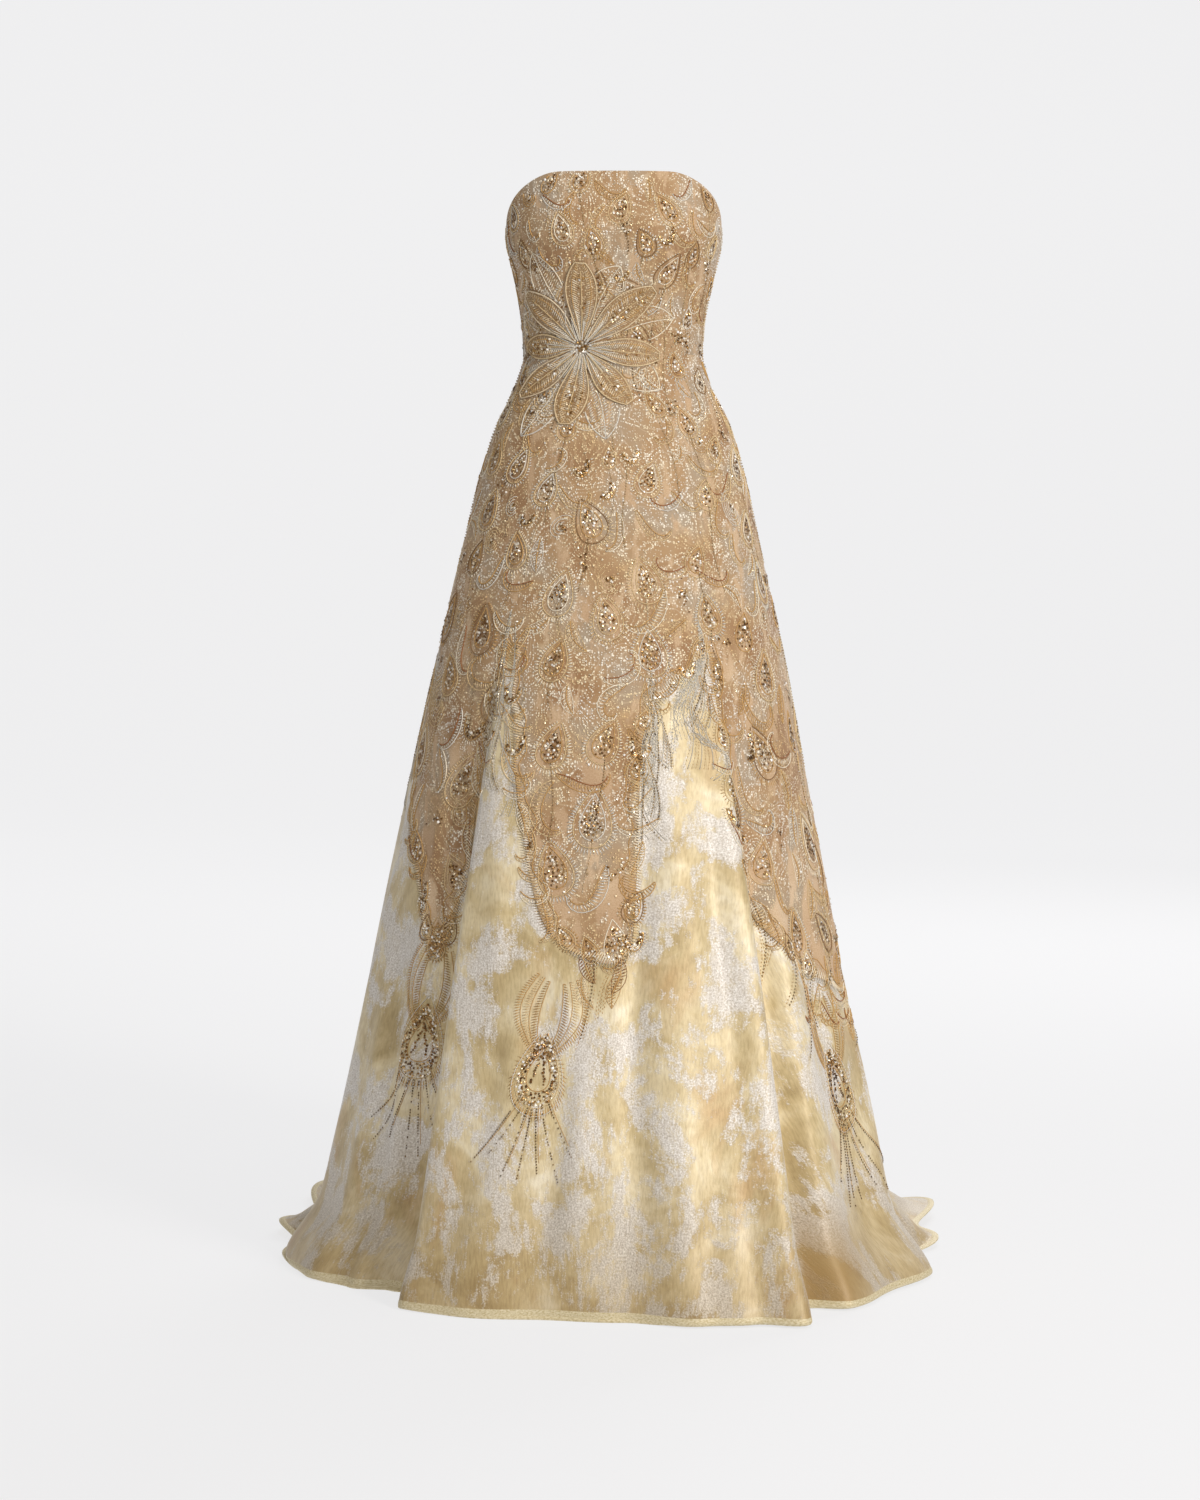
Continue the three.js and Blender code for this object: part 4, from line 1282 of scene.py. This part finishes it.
def peakSides(at):
    # the two edges of the net beside a brocade peak: angle as a function of drop
    sides = []
    for way in (-1, 1):
        angles = at + way * np.arange(0, 34, 0.2)
        drops = netDrop(angles)
        falls = np.flatnonzero(np.diff(drops) <= 0)
        last = int(falls[0]) + 1 if len(falls) else len(drops)
        sides.append((drops[:last], angles[:last]))
    return sides


# Combed groups of fine silvery threads that fill the top of a brocade peak and sweep across it
wings = [
    # angle, height
    (-36.5, 190), (28.3, 210), (13, 150), (-86, 170), (113, 180), (154, 200), (-135, 200),
]
wing = {"threads": 9, "apart": 2.4, "points": 15, "dash": 4.2, "wide": 1.35, "cordWide": 1.2,
        "clear": 3.4}


def addWing(at, tall):
    (leftDrops, leftAngles), (rightDrops, rightAngles) = peakSides(at)
    top = float(netDrop(np.array(at)))
    groups = int(tall / 22)
    for group in range(groups):
        first = top - 34 + 0.9 * tall * (group / groups) ** 1.3 + dice.uniform(-8, 4)
        long = dice.uniform(60, 125)
        base = dice.uniform(0.02, 0.6)
        sway = dice.uniform(0.15, 0.4) * (1 if group % 2 else -1)
        kind = "silver" if dice.random() < 0.7 else "champagne"
        for k in range(wing["threads"]):
            t = np.linspace(0, 1, wing["points"])
            bend = sway * np.sin(np.pi * 0.85 * t) * (1 - 0.03 * k)
            share = base + 0.045 * k * (0.35 + 0.65 * t) + bend
            drops = first + wing["apart"] * k + long * t * (1 - 0.02 * k)
            left = np.minimum(np.interp(drops, leftDrops, leftAngles), at - wing["clear"])
            right = np.maximum(np.interp(drops, rightDrops, rightAngles), at + wing["clear"])
            angles = wrapAngle(left + (right - left) * np.clip(share, 0.03, 0.97))
            place = np.stack([angles, drops], axis=-1)
            shade = tints[kind] + dice.uniform(-0.1, 0.04)
            if k % 3 == 1:
                cord = np.zeros((wing["points"], 2))
                work["cords"].append((cord, place, tints["grey"], wing["cordWide"], True))
            else:
                # single stitches in a row, each as steep as the thread is there
                count = int(long / wing["dash"])
                steps = (np.arange(count) + 0.5) / count
                ends = np.stack([np.interp(steps, t, angles), np.interp(steps, t, drops)], axis=-1)
                before = roundAt(np.interp(steps - 0.4 / count, t, angles), ends[:, 1])
                wide = roundAt(np.interp(steps + 0.4 / count, t, angles), ends[:, 1]) - before
                half = np.stack([wide / 2, np.full(count, 1.6)], axis=-1)
                shades = np.clip(shade + dice.normal(0, 0.05, count), 0, 1)
                work["edging"].append((np.stack([-half, half], axis=1), ends, shades,
                                       np.full(count, wing["wide"])))
            if k in (2, 6) and dice.random() < 0.4:
                strand = np.linspace(0, 1, int(long / sizes["beadGap"]))
                places = np.stack([np.interp(strand, t, angles), np.interp(strand, t, drops)], axis=-1)
                shades = np.clip(dice.normal(0.55, 0.2, len(strand)), 0, 1)
                work["beads"].append((np.tile([[1.6, 0.0]], (len(strand), 1)), places, shades,
                                      np.full(len(strand), True)))


for at, tall in wings:
    addWing(at, tall)


def addEdgeMotifs():
    # bands and drops that hang over the net's edge, so that it ends in embroidery
    angles = np.linspace(-180, 180, 3600)
    length = edgeLength(angles)
    loose["on"] = True
    at = 20.0
    while at < length[-1] - 20:
        angle = float(np.interp(at, length, angles))
        drop = float(netDrop(np.array(angle)))
        size = dice.uniform(0.6, 0.85)
        slope = float(netDrop(np.array(angle + 1.5)) - netDrop(np.array(angle - 1.5)))
        lean = dice.normal(0, 12) - 14 * np.sign(slope)
        pick = dice.random()
        shade = tints[("gold", "champagne", "ivory", "champagne")[int(dice.integers(0, 4))]]
        if pick < 0.55:
            scrollMotif((angle, drop - 6), size, lean, shade)
        elif pick < 0.75:
            leafMotif((angle, drop - 4), size, lean, shade)
        elif pick < 0.9:
            dropMotif((angle, drop - 12), size * 0.8, lean, shade)
        else:
            crescentMotif((angle, drop - 8), size, lean)
        if abs(slope) < 9 and drop > 560:
            # two more below, at the foot of a tongue
            for k in range(2):
                below = (angle, drop + dice.uniform(10, 52))
                shade = tints[("gold", "champagne", "rust")[int(dice.integers(0, 3))]] + 0.08
                if dice.random() < 0.6:
                    scrollMotif(below, size, lean + dice.normal(0, 20), shade)
                else:
                    leafMotif(below, size * 1.1, lean, shade)
        at += dice.uniform(27, 40)
    loose["on"] = False


addEdgeMotifs()
addBorder()

# Feather shapes low on the brocade: a sequinned eye in a stitched halo, bead strands spreading below
feathers = [
    # angle, height above the floor, size, turn
    (-14, 300, 1.0, 8), (57.5, 256, 1.05, -6), (-51.5, 316, 1.05, 6),
    (113, 300, 1.0, -5), (-118, 310, 1.0, 6), (155, 330, 1.0, -4), (-160, 320, 1.0, 5),
]


def addStitchesFree(ends, place, tint, turn):
    count = len(ends)
    work["feathers"].append((turned(ends, turn), np.tile(place, (count, 1)), np.full(count, tint),
                             np.full(count, 1.6)))


def featherMotif(at, up, scale, turn):
    place = (float(at), waistToFloor - up)
    long, wide = 88 * scale, 52 * scale
    for share, low, high in ((0.7, 0.0, 0.6), (0.8, 0.05, 1.0), (0.9, 0.1, 1.0), (1.0, 0.3, 1.0)):
        count = int(62 * share * scale)
        ring = dropOutline(long * share, wide * share, count, 0.03, 0.97)
        addSequins(turned(ring + dice.normal(0, 1.1, ring.shape), turn), place, low, high, True)
    # two dark lines inside the eye
    for side in (-1, 1):
        t = np.linspace(0, 1, 13)[:, None]
        line = np.array([[0.0, -long * 0.24]]) + t * np.array([[side * wide * 0.16, long * 0.42]])
        addSequins(turned(line + dice.normal(0, 0.9, line.shape), turn), place, 0.0, 0.4, True)
    for share, colour in ((0.6, tints["gold"]), (1.08, tints["champagne"]), (1.3, tints["silver"])):
        ring = dropOutline(long * share, wide * share, 40, 0.05, 0.95)
        addCord(turned(ring, turn), place, colour, 1.2, True)
    # the stitched halo
    for k in range(60):
        share = 0.1 + 0.8 * (k + 0.5) / 60
        edge = dropOutline(long * 1.1, wide * 1.12, 2, share, share + 0.01)[0]
        away = edge / np.linalg.norm(edge) + np.array([0.0, 0.35])
        reach = dice.uniform(8, 13) * scale
        addStitchesFree(np.array([[edge, edge + away * reach]]), place, tints["gold"], turn)
    # bead strands that spread below, every other one with a thread beside it
    for k in range(7):
        spread = (k - 3) * 11 + dice.normal(0, 2)
        count = int(dice.uniform(75, 112) * scale / sizes["beadGap"])
        t = np.linspace(0, 1, count)
        start = np.array([(k - 3) * 5.5 * scale, long * (0.56 - 0.02 * (k - 3) ** 2)])
        heading = math.radians(spread)
        run = t * count * sizes["beadGap"]
        line = start + np.stack([np.sin(heading) * run * (0.8 + 0.3 * t), np.cos(heading) * run], axis=-1)
        addBeads(turned(line, turn)[dice.random(count) < 0.84], place, 0.22, True)
        if k % 2 == 0:
            shift = np.array([2.4, 0.0])
            addCord(turned(line[::2] * 0.9 + shift, turn), place, tints["gold"], 0.8, True)
    for side in (-1, 1):
        # comb-stitched bands, one inside the other, that come down from the net to the eye
        for inset, colour in ((1.0, tints["gold"]), (0.68, tints["champagne"]),
                              (0.36, tints["gold"] - 0.1)):
            t = np.linspace(0, 1, 40)
            arch = np.stack([side * inset * (10 + 22 * np.sin(np.pi * t) + 14 * (1 - t)) * scale,
                             (-long * (0.1 + 0.12 * inset) - 96 * (1 - t)) * scale], axis=-1)
            points, ahead, share = alongPath(turned(arch, turn), 3.0)
            left = leftOf(ahead) * -side
            reach = 10 * scale * (0.45 + 0.55 * np.sin(np.pi * share ** 0.8))
            ends = np.stack([points, points + (left + 0.35 * ahead) * reach[:, None]], axis=1)
            addStitchesFree(ends, place, colour, 0.0)
            addCord(points[::2], place, tints["gold"], 1.1, True)


for at, up, scale, turn in feathers:
    featherMotif(at, up, scale, turn)


def chartPlace(local, place):
    # local millimetres round a centre to angle and drop
    drop = place[..., 1] + local[..., 1]
    return angleAt(roundAt(place[..., 0], drop) + local[..., 0], drop), drop


def underPetal(angle, drop, margin=1.2):
    x = np.radians(angle - flower["at"]) * flowerRadius
    y = flower["drop"] - drop
    hit = np.zeros(angle.shape, bool)
    for turn, long, wide in petals:
        cosine, sine = math.cos(math.radians(turn)), math.sin(math.radians(turn))
        out, side = x * sine + y * cosine, x * cosine - y * sine
        share = 1 - (out - flower["inner"]) / long
        inside = (share > -0.03) & (share < 1.06)
        hit |= inside & (np.abs(side) < petalHalf(np.clip(share, 0, 1), wide) + margin)
    return hit


def onNet(angle, drop):
    # clear of the top edge, the net's edge, the raised petals and the zip's opening
    atZip = (np.abs(angle) > 180 - np.degrees(3.5 / 100)) & (drop < zipper["end"] + 2)
    within = (drop > topDrop(angle) + 3.5) & (drop < netDrop(angle) - 0.5)
    return within & ~atZip & ~underPetal(angle, drop)


def onGown(angle, drop):
    # anywhere on the net or the brocade, down to just above the hem binding
    return (drop > topDrop(angle) + 3.5) & (drop < bandDrop(angle) - 6) & ~underPetal(angle, drop)


def ride(thing, material):
    thing.data.materials.append(material)
    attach(thing, "gown")
    pieces[thing.name] = thing


def unit(vectors):
    return vectors / np.maximum(np.linalg.norm(vectors, axis=-1, keepdims=True), 1e-9)


def stitchMesh(name, first, middle, last, normal, wide, high, shade):
    # a satin stitch is a spindle: two ends and a three-cornered middle
    along = unit(last - first)
    side = unit(np.cross(along, normal)) * (wide / 2)[:, None]
    top = middle + normal * high[:, None]
    points = np.stack([first, middle + side, middle - side, top, last], axis=1)
    faces = np.array([(0, 1, 3), (0, 3, 2), (0, 2, 1), (4, 3, 1), (4, 2, 3), (4, 1, 2)])
    count = len(first)
    index = (faces[None] + 5 * np.arange(count)[:, None, None]).reshape(-1, 3)
    thing = meshFrom(name, points.reshape(-1, 3), index)
    setTint(thing, np.repeat(shade, 5))
    return thing


def gathered(kind):
    return [np.concatenate([row[k] for row in work[kind]]) for k in range(len(work[kind][0]))]


def makeStitches(name, kind, test, keep=None):
    ends, place, shade, wide = gathered(kind)
    spots = [chartPlace(local, place) for local in (ends[:, 0], ends.mean(axis=1), ends[:, 1])]
    good = test(*spots[1]) & (np.linalg.norm(ends[:, 1] - ends[:, 0], axis=1) > 1.5)
    if keep is not None:
        good &= keep(spots[1][0])
    spots = [(angle[good], drop[good]) for angle, drop in spots]
    count = int(good.sum())
    low = np.full(count, 0.15)
    first, last = skin(*spots[0], low), skin(*spots[2], low)
    middle, normal = skin(*spots[1], low), clothNormal(*spots[1])
    high = np.full(count, sizes["stitchHigh"])
    thing = stitchMesh(name, first, middle, last, normal, wide[good], high, shade[good])
    ride(thing, threadMaterial)
    return count


def tubeMesh(name, points, normals, starts, wide, shade):
    # three-sided cords along runs of points; starts are where the runs begin
    ends = np.append(starts[1:], len(points))
    ahead = np.empty_like(points)
    ahead[1:-1] = points[2:] - points[:-2]
    ahead[starts] = points[starts + 1] - points[starts]
    ahead[ends - 1] = points[ends - 1] - points[ends - 2]
    side = unit(np.cross(unit(ahead), normals)) * (wide / 2)[:, None]
    ring = np.stack([points + side, points + normals * (wide * 0.72)[:, None], points - side], axis=1)
    last = np.zeros(len(points), bool)
    last[ends - 1] = True
    k = np.flatnonzero(~last)[:, None] * 3
    a, b, c = k, k + 1, k + 2
    quads = np.concatenate([
        np.concatenate([a, a + 3, b + 3, b], axis=1),
        np.concatenate([b, b + 3, c + 3, c], axis=1),
        np.concatenate([c, c + 3, a + 3, a], axis=1)])
    triangles = np.concatenate([quads[:, [0, 1, 2]], quads[:, [0, 2, 3]]])
    head, tail = starts[:, None] * 3, (ends[:, None] - 1) * 3
    caps = np.concatenate([np.concatenate([head, head + 1, head + 2], axis=1),
                           np.concatenate([tail, tail + 2, tail + 1], axis=1)])
    thing = meshFrom(name, ring.reshape(-1, 3), np.concatenate([triangles, caps]))
    setTint(thing, np.repeat(shade, 3))
    ride(thing, threadMaterial)
    return len(triangles)


def makeCords(name, rows, keep):
    counts = [len(row[0]) for row in rows]
    local = np.concatenate([row[0] for row in rows])
    place = np.concatenate([np.broadcast_to(row[1], (count, 2)) for row, count in zip(rows, counts)])
    shade, wide, free = (np.repeat([row[k] for row in rows], counts) for k in (2, 3, 4))
    owner = np.repeat(np.arange(len(rows)), counts)
    angle, drop = chartPlace(local, place)
    good = np.where(free, onGown(angle, drop), onNet(angle, drop)) & keep(place[:, 0])
    # runs of good points in the same path, three or longer
    key = owner * 2 + good
    breaks = np.flatnonzero(np.diff(key)) + 1
    edges = np.concatenate([[0], breaks, [len(key)]])
    chosen, starts, total = [], [], 0
    for low, high in zip(edges[:-1], edges[1:]):
        if good[low] and high - low >= 3:
            chosen.append(np.arange(low, high))
            starts.append(total)
            total += high - low
    chosen, starts = np.concatenate(chosen), np.array(starts)
    height = np.full(len(chosen), 0.1)
    points = skin(angle[chosen], drop[chosen], height)
    normals = clothNormal(angle[chosen], drop[chosen])
    return tubeMesh(name, points, normals, starts, wide[chosen], shade[chosen])


def discMesh(name, centres, normals, radius, shade):
    # sequins: small five-sided discs, dished, each tipped its own way
    count = len(centres)
    axis = unit(normals + dice.normal(0, 0.5, normals.shape) * 0.55)
    away = unit(np.cross(axis, dice.normal(0, 1, axis.shape)))
    across = np.cross(axis, away)
    turn = 2 * np.pi * np.arange(5) / 5
    cosine, sine = np.cos(turn)[None, :, None], np.sin(turn)[None, :, None]
    rim = centres[:, None] + radius[:, None, None] * (cosine * away[:, None] + sine * across[:, None])
    top = centres + axis * (radius * 0.3)[:, None]
    foot = centres - axis * (radius * 0.12)[:, None]
    points = np.concatenate([rim, top[:, None], foot[:, None]], axis=1)
    faces = [(k, (k + 1) % 5, 5) for k in range(5)] + [((k + 1) % 5, k, 6) for k in range(5)]
    index = (np.array(faces)[None] + 7 * np.arange(count)[:, None, None]).reshape(-1, 3)
    thing = meshFrom(name, points.reshape(-1, 3), index, False)
    setTint(thing, np.repeat(shade, 7))
    ride(thing, sequinMaterial)


def beadMesh(name, centres, normals, ahead, shade):
    # cut beads: eight flat faces, a little longer along the string
    count = len(centres)
    side = unit(np.cross(ahead, normals))
    size = sizes["bead"] * dice.uniform(0.85, 1.15, count)[:, None]
    points = np.stack([
        centres + ahead * size * 1.5, centres + side * size, centres - ahead * size * 1.5,
        centres - side * size, centres + normals * size, centres - normals * size], axis=1)
    faces = [(0, 1, 4), (1, 2, 4), (2, 3, 4), (3, 0, 4), (1, 0, 5), (2, 1, 5), (3, 2, 5), (0, 3, 5)]
    index = (np.array(faces)[None] + 6 * np.arange(count)[:, None, None]).reshape(-1, 3)
    thing = meshFrom(name, points.reshape(-1, 3), index, False)
    setTint(thing, np.repeat(shade, 6))
    ride(thing, beadMaterial)


def tinted(name, stops, metallic, roughness, coat=0.0, pale=None):
    # a material whose shade is each point's tint; pale is how metallic the palest are, if not the same
    material, tree, shader = newMaterial(name)
    tint = tintOf(tree)
    place = addNode(tree, "ShaderNodeTexCoord").outputs["Object"]
    grain = noise(tree, place, 700.0, 2.0, 0.6)
    worn = ramp(tree, grain, [(0.35, "8A7A66"), (0.6, "FFFFFF")])
    colour = mixColour(tree, 0.35, ramp(tree, tint, stops), worn, "MULTIPLY")
    tree.links.new(colour, shader.inputs["Base Color"])
    rough = ramp(tree, grain, [(0.3, roughness + 0.1), (0.7, roughness - 0.06)])
    tree.links.new(rough, shader.inputs["Roughness"])
    if pale is None:
        shader.inputs["Metallic"].default_value = metallic
    else:
        tree.links.new(ramp(tree, tint, [(0.55, metallic), (0.95, pale)]), shader.inputs["Metallic"])
    shader.inputs["Coat Weight"].default_value = coat
    return material


# rayon embroidery thread: a soft satin shine, in the rust, gold, ivory and silver-grey of the design
threadMaterial = tinted("rayon embroidery thread", [
    (0.0, "A56C3E"), (0.14, "96734A"), (0.32, "D0A76B"), (0.5, "E4CA9C"), (0.68, "FBF1DC"),
    (0.86, "E9E5DC"), (1.0, "CDC8BE")], 0.06, 0.5)
# sequins of metallised polyester film, bronze to gold; the palest ones are painted glints, near white and
# much less metallic, standing in for sequins that catch the light
sequinMaterial = tinted("metallised polyester sequins", [
    (0.0, "5E3F20"), (0.3, "91693A"), (0.52, "C9A46C"), (0.72, "F2E2C2"), (1.0, "FFFFFF")],
    0.9, 0.3, 0.3, 0.1)
# cut glass beads with a metal lining, from smoked brown to pale gold
beadMaterial = tinted("metal lined glass beads", [
    (0.0, "4E3D28"), (0.35, "8C7048"), (0.7, "D0B480"), (1.0, "FBF2DE")], 0.4, 0.26, 0.5)

stitchCount = 0
cordCount = 0
# three sectors round the gown, so that no one mesh is too large
sectors = (("Front", -90, 90), ("Left", 90, 181), ("Right", -181, -90))
for name, low, high in sectors:
    stitchCount += makeStitches("stitches" + name, "stitches", onNet,
                                lambda angle: (angle >= low) & (angle < high))
stitchCount += makeStitches("featherStitches", "feathers", onGown)
stitchCount += makeStitches("edging", "edging", onGown)
for name, low, high in sectors:
    cordCount += makeCords("cords" + name, work["cords"], lambda angle: (angle >= low) & (angle < high))


# The flower: raised cords round each petal and down its middle, and slanted stitches between them
flowerWork = {"gap": 3.1, "edge": 0.93, "inner": 0.58, "threads": 46, "threadUp": 2.53,
              "heap": 64, "heapOut": 15.5}


def makeFlower():
    # rows holds angles, drops, heights, width and shade of each cord; ends holds the places and
    # heights of the near end, the middle and the far end of each batch of stitches
    rows, ends, shades = [], [[], [], []], []

    def petalCord(petal, side, share, thick, shade):
        angle, drop = petalPlace(*petal, side, share)
        rows.append((angle, drop, petalHeight(side, np.clip(share, 0, 1)) + 0.05, thick, shade))

    for petal in petals:
        outline = tints["champagne"] + 0.12 * dice.random()
        for edge, tip, thick, shade in ((flowerWork["edge"], 0.015, 2.0, outline),
                                        (flowerWork["inner"], 0.2, 1.2, tints["gold"])):
            up = np.linspace(0.99, tip, 24)
            over = np.linspace(-edge, edge, 7)[1:-1]
            side = np.concatenate([np.full(24, -edge), over, np.full(24, edge)])
            share = np.concatenate([up, np.full(5, tip), up[::-1]])
            petalCord(petal, side, share, thick, shade)
        petalCord(petal, np.zeros(18), np.linspace(0.97, 0.12, 18), 1.5, tints["champagne"])
        count = int(petal[1] / flowerWork["gap"])
        share = np.linspace(0.95, 0.07, count)
        for way in (-1, 1):
            for batch, side, ahead in zip(ends, (0.09, 0.475, 0.86), (0, 0.035, 0.07)):
                angle, drop = petalPlace(*petal, np.full(count, way * side), share - ahead)
                batch.append((angle, drop, petalHeight(np.full(count, side), share - ahead)))
            paler = 0.42 * (1 - share) ** 0.8
            shades.append(np.clip(tints["silver"] - paler + dice.normal(0, 0.09, count), 0, 1))
    for k in range(flowerWork["threads"]):
        # silver and ivory threads that burst from the middle
        direction = math.radians(k * 360 / flowerWork["threads"] + dice.normal(0, 3))
        out = np.linspace(9, dice.uniform(24, 52), 12)
        bend = direction + dice.normal(0, 0.12) * (out / 50) ** 2
        angle = flower["at"] + np.degrees(out * np.sin(bend) / flowerRadius)
        height = np.full(12, flowerWork["threadUp"])
        rows.append((angle, flower["drop"] - out * np.cos(bend), height, 1.25,
                     tints["silver"] if k % 3 else tints["ivory"]))
    counts = [len(row[0]) for row in rows]
    angle, drop, height = (np.concatenate([row[k] for row in rows]) for k in range(3))
    wide, shade = (np.repeat([float(row[k]) for row in rows], counts) for k in (3, 4))
    tubeMesh("flowerCords", skin(angle, drop, height), clothNormal(angle, drop),
             np.cumsum([0] + counts[:-1]), wide, shade)
    spots = [[np.concatenate([row[k] for row in batch]) for k in range(3)] for batch in ends]
    first, middle, last = (skin(*spot) for spot in spots)
    count = len(first)
    thing = stitchMesh("flowerStitches", first, middle, last, clothNormal(*spots[1][:2]),
                       np.full(count, 1.7), np.full(count, 0.7), np.concatenate(shades))
    ride(thing, threadMaterial)
    # sequins heaped in the middle
    k = np.arange(flowerWork["heap"])
    out = np.sqrt((k + 0.5) / flowerWork["heap"]) * flowerWork["heapOut"]
    x, y = out * np.cos(k * spiralTurn), out * np.sin(k * spiralTurn)
    angle, drop = flower["at"] + np.degrees(x / flowerRadius), flower["drop"] - y
    height = 1.9 + 1.5 * (1 - out / flowerWork["heapOut"])
    # three of the petals carry sequins on their outer half, and every petal a few
    for number, (turn, long, wide) in enumerate(petals):
        count = 34 if number in (1, 4, 6) else 9
        side, share = dice.normal(0, 0.3, count), dice.uniform(0.12, 0.62, count)
        spot = petalPlace(turn, long, wide, side, share)
        angle, drop = np.append(angle, spot[0]), np.append(drop, spot[1])
        height = np.append(height, petalHeight(side, share) + 0.7)
    count = len(angle)
    discMesh("flowerSequins", skin(angle, drop, height), clothNormal(angle, drop),
             np.full(count, sizes["sequin"]), dice.uniform(0.15, 1.0, count))


makeFlower()


def placed(kind):
    # where the sequins or beads lie that have the net under them, or the brocade if they may run on to it
    local, place, *others, free = gathered(kind)
    angle, drop = chartPlace(local, place)
    good = np.where(free, onGown(angle, drop), onNet(angle, drop))
    return [values[good] for values in (angle, drop, *others)]


def downCloth(angle, drop):
    # the direction down the cloth
    return unit(clothPoint(angle, drop + 1) - clothPoint(angle, drop - 1))


angle, drop, shade, radius = placed("sequins")
sequinCount = len(angle)
isFront = (angle + 90) % 360 < 180
for name, some in (("sequinsFront", isFront), ("sequinsBack", ~isFront)):
    at, low = angle[some], drop[some]
    discMesh(name, skin(at, low, radius[some] * 0.55), clothNormal(at, low), radius[some], shade[some])
angle, drop, shade = placed("beads")
beadMesh("beadTrails", skin(angle, drop, np.full(len(angle), 0.9)), clothNormal(angle, drop),
         downCloth(angle, drop), shade)
print("stitches", stitchCount, "cord faces", cordCount, "sequins", sequinCount, "beads", len(angle))

# The zip's coil on the inside of the tape: one tooth, repeated down both edges of the opening. The
# tooth is in metres, and the rest in millimetres.
coilSizes = {"tooth": (0.0026, 0.0008, 0.0009), "pitch": 1.5, "start": 12, "end": 186, "off": 0.3,
             "aside": 0.9}
bpy.ops.object.select_all(action="DESELECT")
bpy.ops.mesh.primitive_cube_add(size=1)
tooth = bpy.context.object
tooth.scale = coilSizes["tooth"]
bpy.ops.object.transform_apply(location=False, rotation=False, scale=True)
corners = np.array([vertex.co[:] for vertex in tooth.data.vertices]) * 1000
toothFaces = np.array([face.vertices[:] for face in tooth.data.polygons])
bpy.data.objects.remove(tooth)
coilDrop = np.arange(float(topDrop(np.array(180.0))) + coilSizes["start"], coilSizes["end"],
                     coilSizes["pitch"])
coilSide = np.where(np.arange(len(coilDrop)) % 2, coilSizes["aside"], -coilSizes["aside"])
coilDepth = walls["bodice"] + zipper["behind"] + walls["tape"] + coilSizes["off"]
coilAt = np.full(len(coilDrop), 180.0)
coilPlace = skin(coilAt, coilDrop, np.full(len(coilDrop), -coilDepth))
coilOut = clothNormal(coilAt, coilDrop)
coilDown = downCloth(coilAt, coilDrop)
coilAcross = unit(np.cross(coilDown, coilOut))
coilPoints = (coilPlace + coilAcross * coilSide[:, None])[:, None] + sum(
    corners[None, :, k, None] * direction[:, None]
    for k, direction in enumerate((coilAcross, coilOut, coilDown)))
coilIndex = (toothFaces[None] + 8 * np.arange(len(coilDrop))[:, None, None]).reshape(-1, 4)
coil = meshFrom("zipCoil", coilPoints.reshape(-1, 3), coilIndex, False)
# nylon coil, dyed the nude of the tape
coilMaterial, _, coilShader = newMaterial("dyed nylon coil")
coilShader.inputs["Base Color"].default_value = linear("C2A47C")
coilShader.inputs["Roughness"].default_value = 0.4
ride(coil, coilMaterial)

# Triangle counts of the pieces

added = {}
for name, thing in pieces.items():
    sides = np.empty(len(thing.data.polygons), dtype=np.int32)
    thing.data.polygons.foreach_get("loop_total", sides)
    added[name] = int((sides - 2).sum())
print("triangles", sum(added.values()), "largest", max(added.values()))
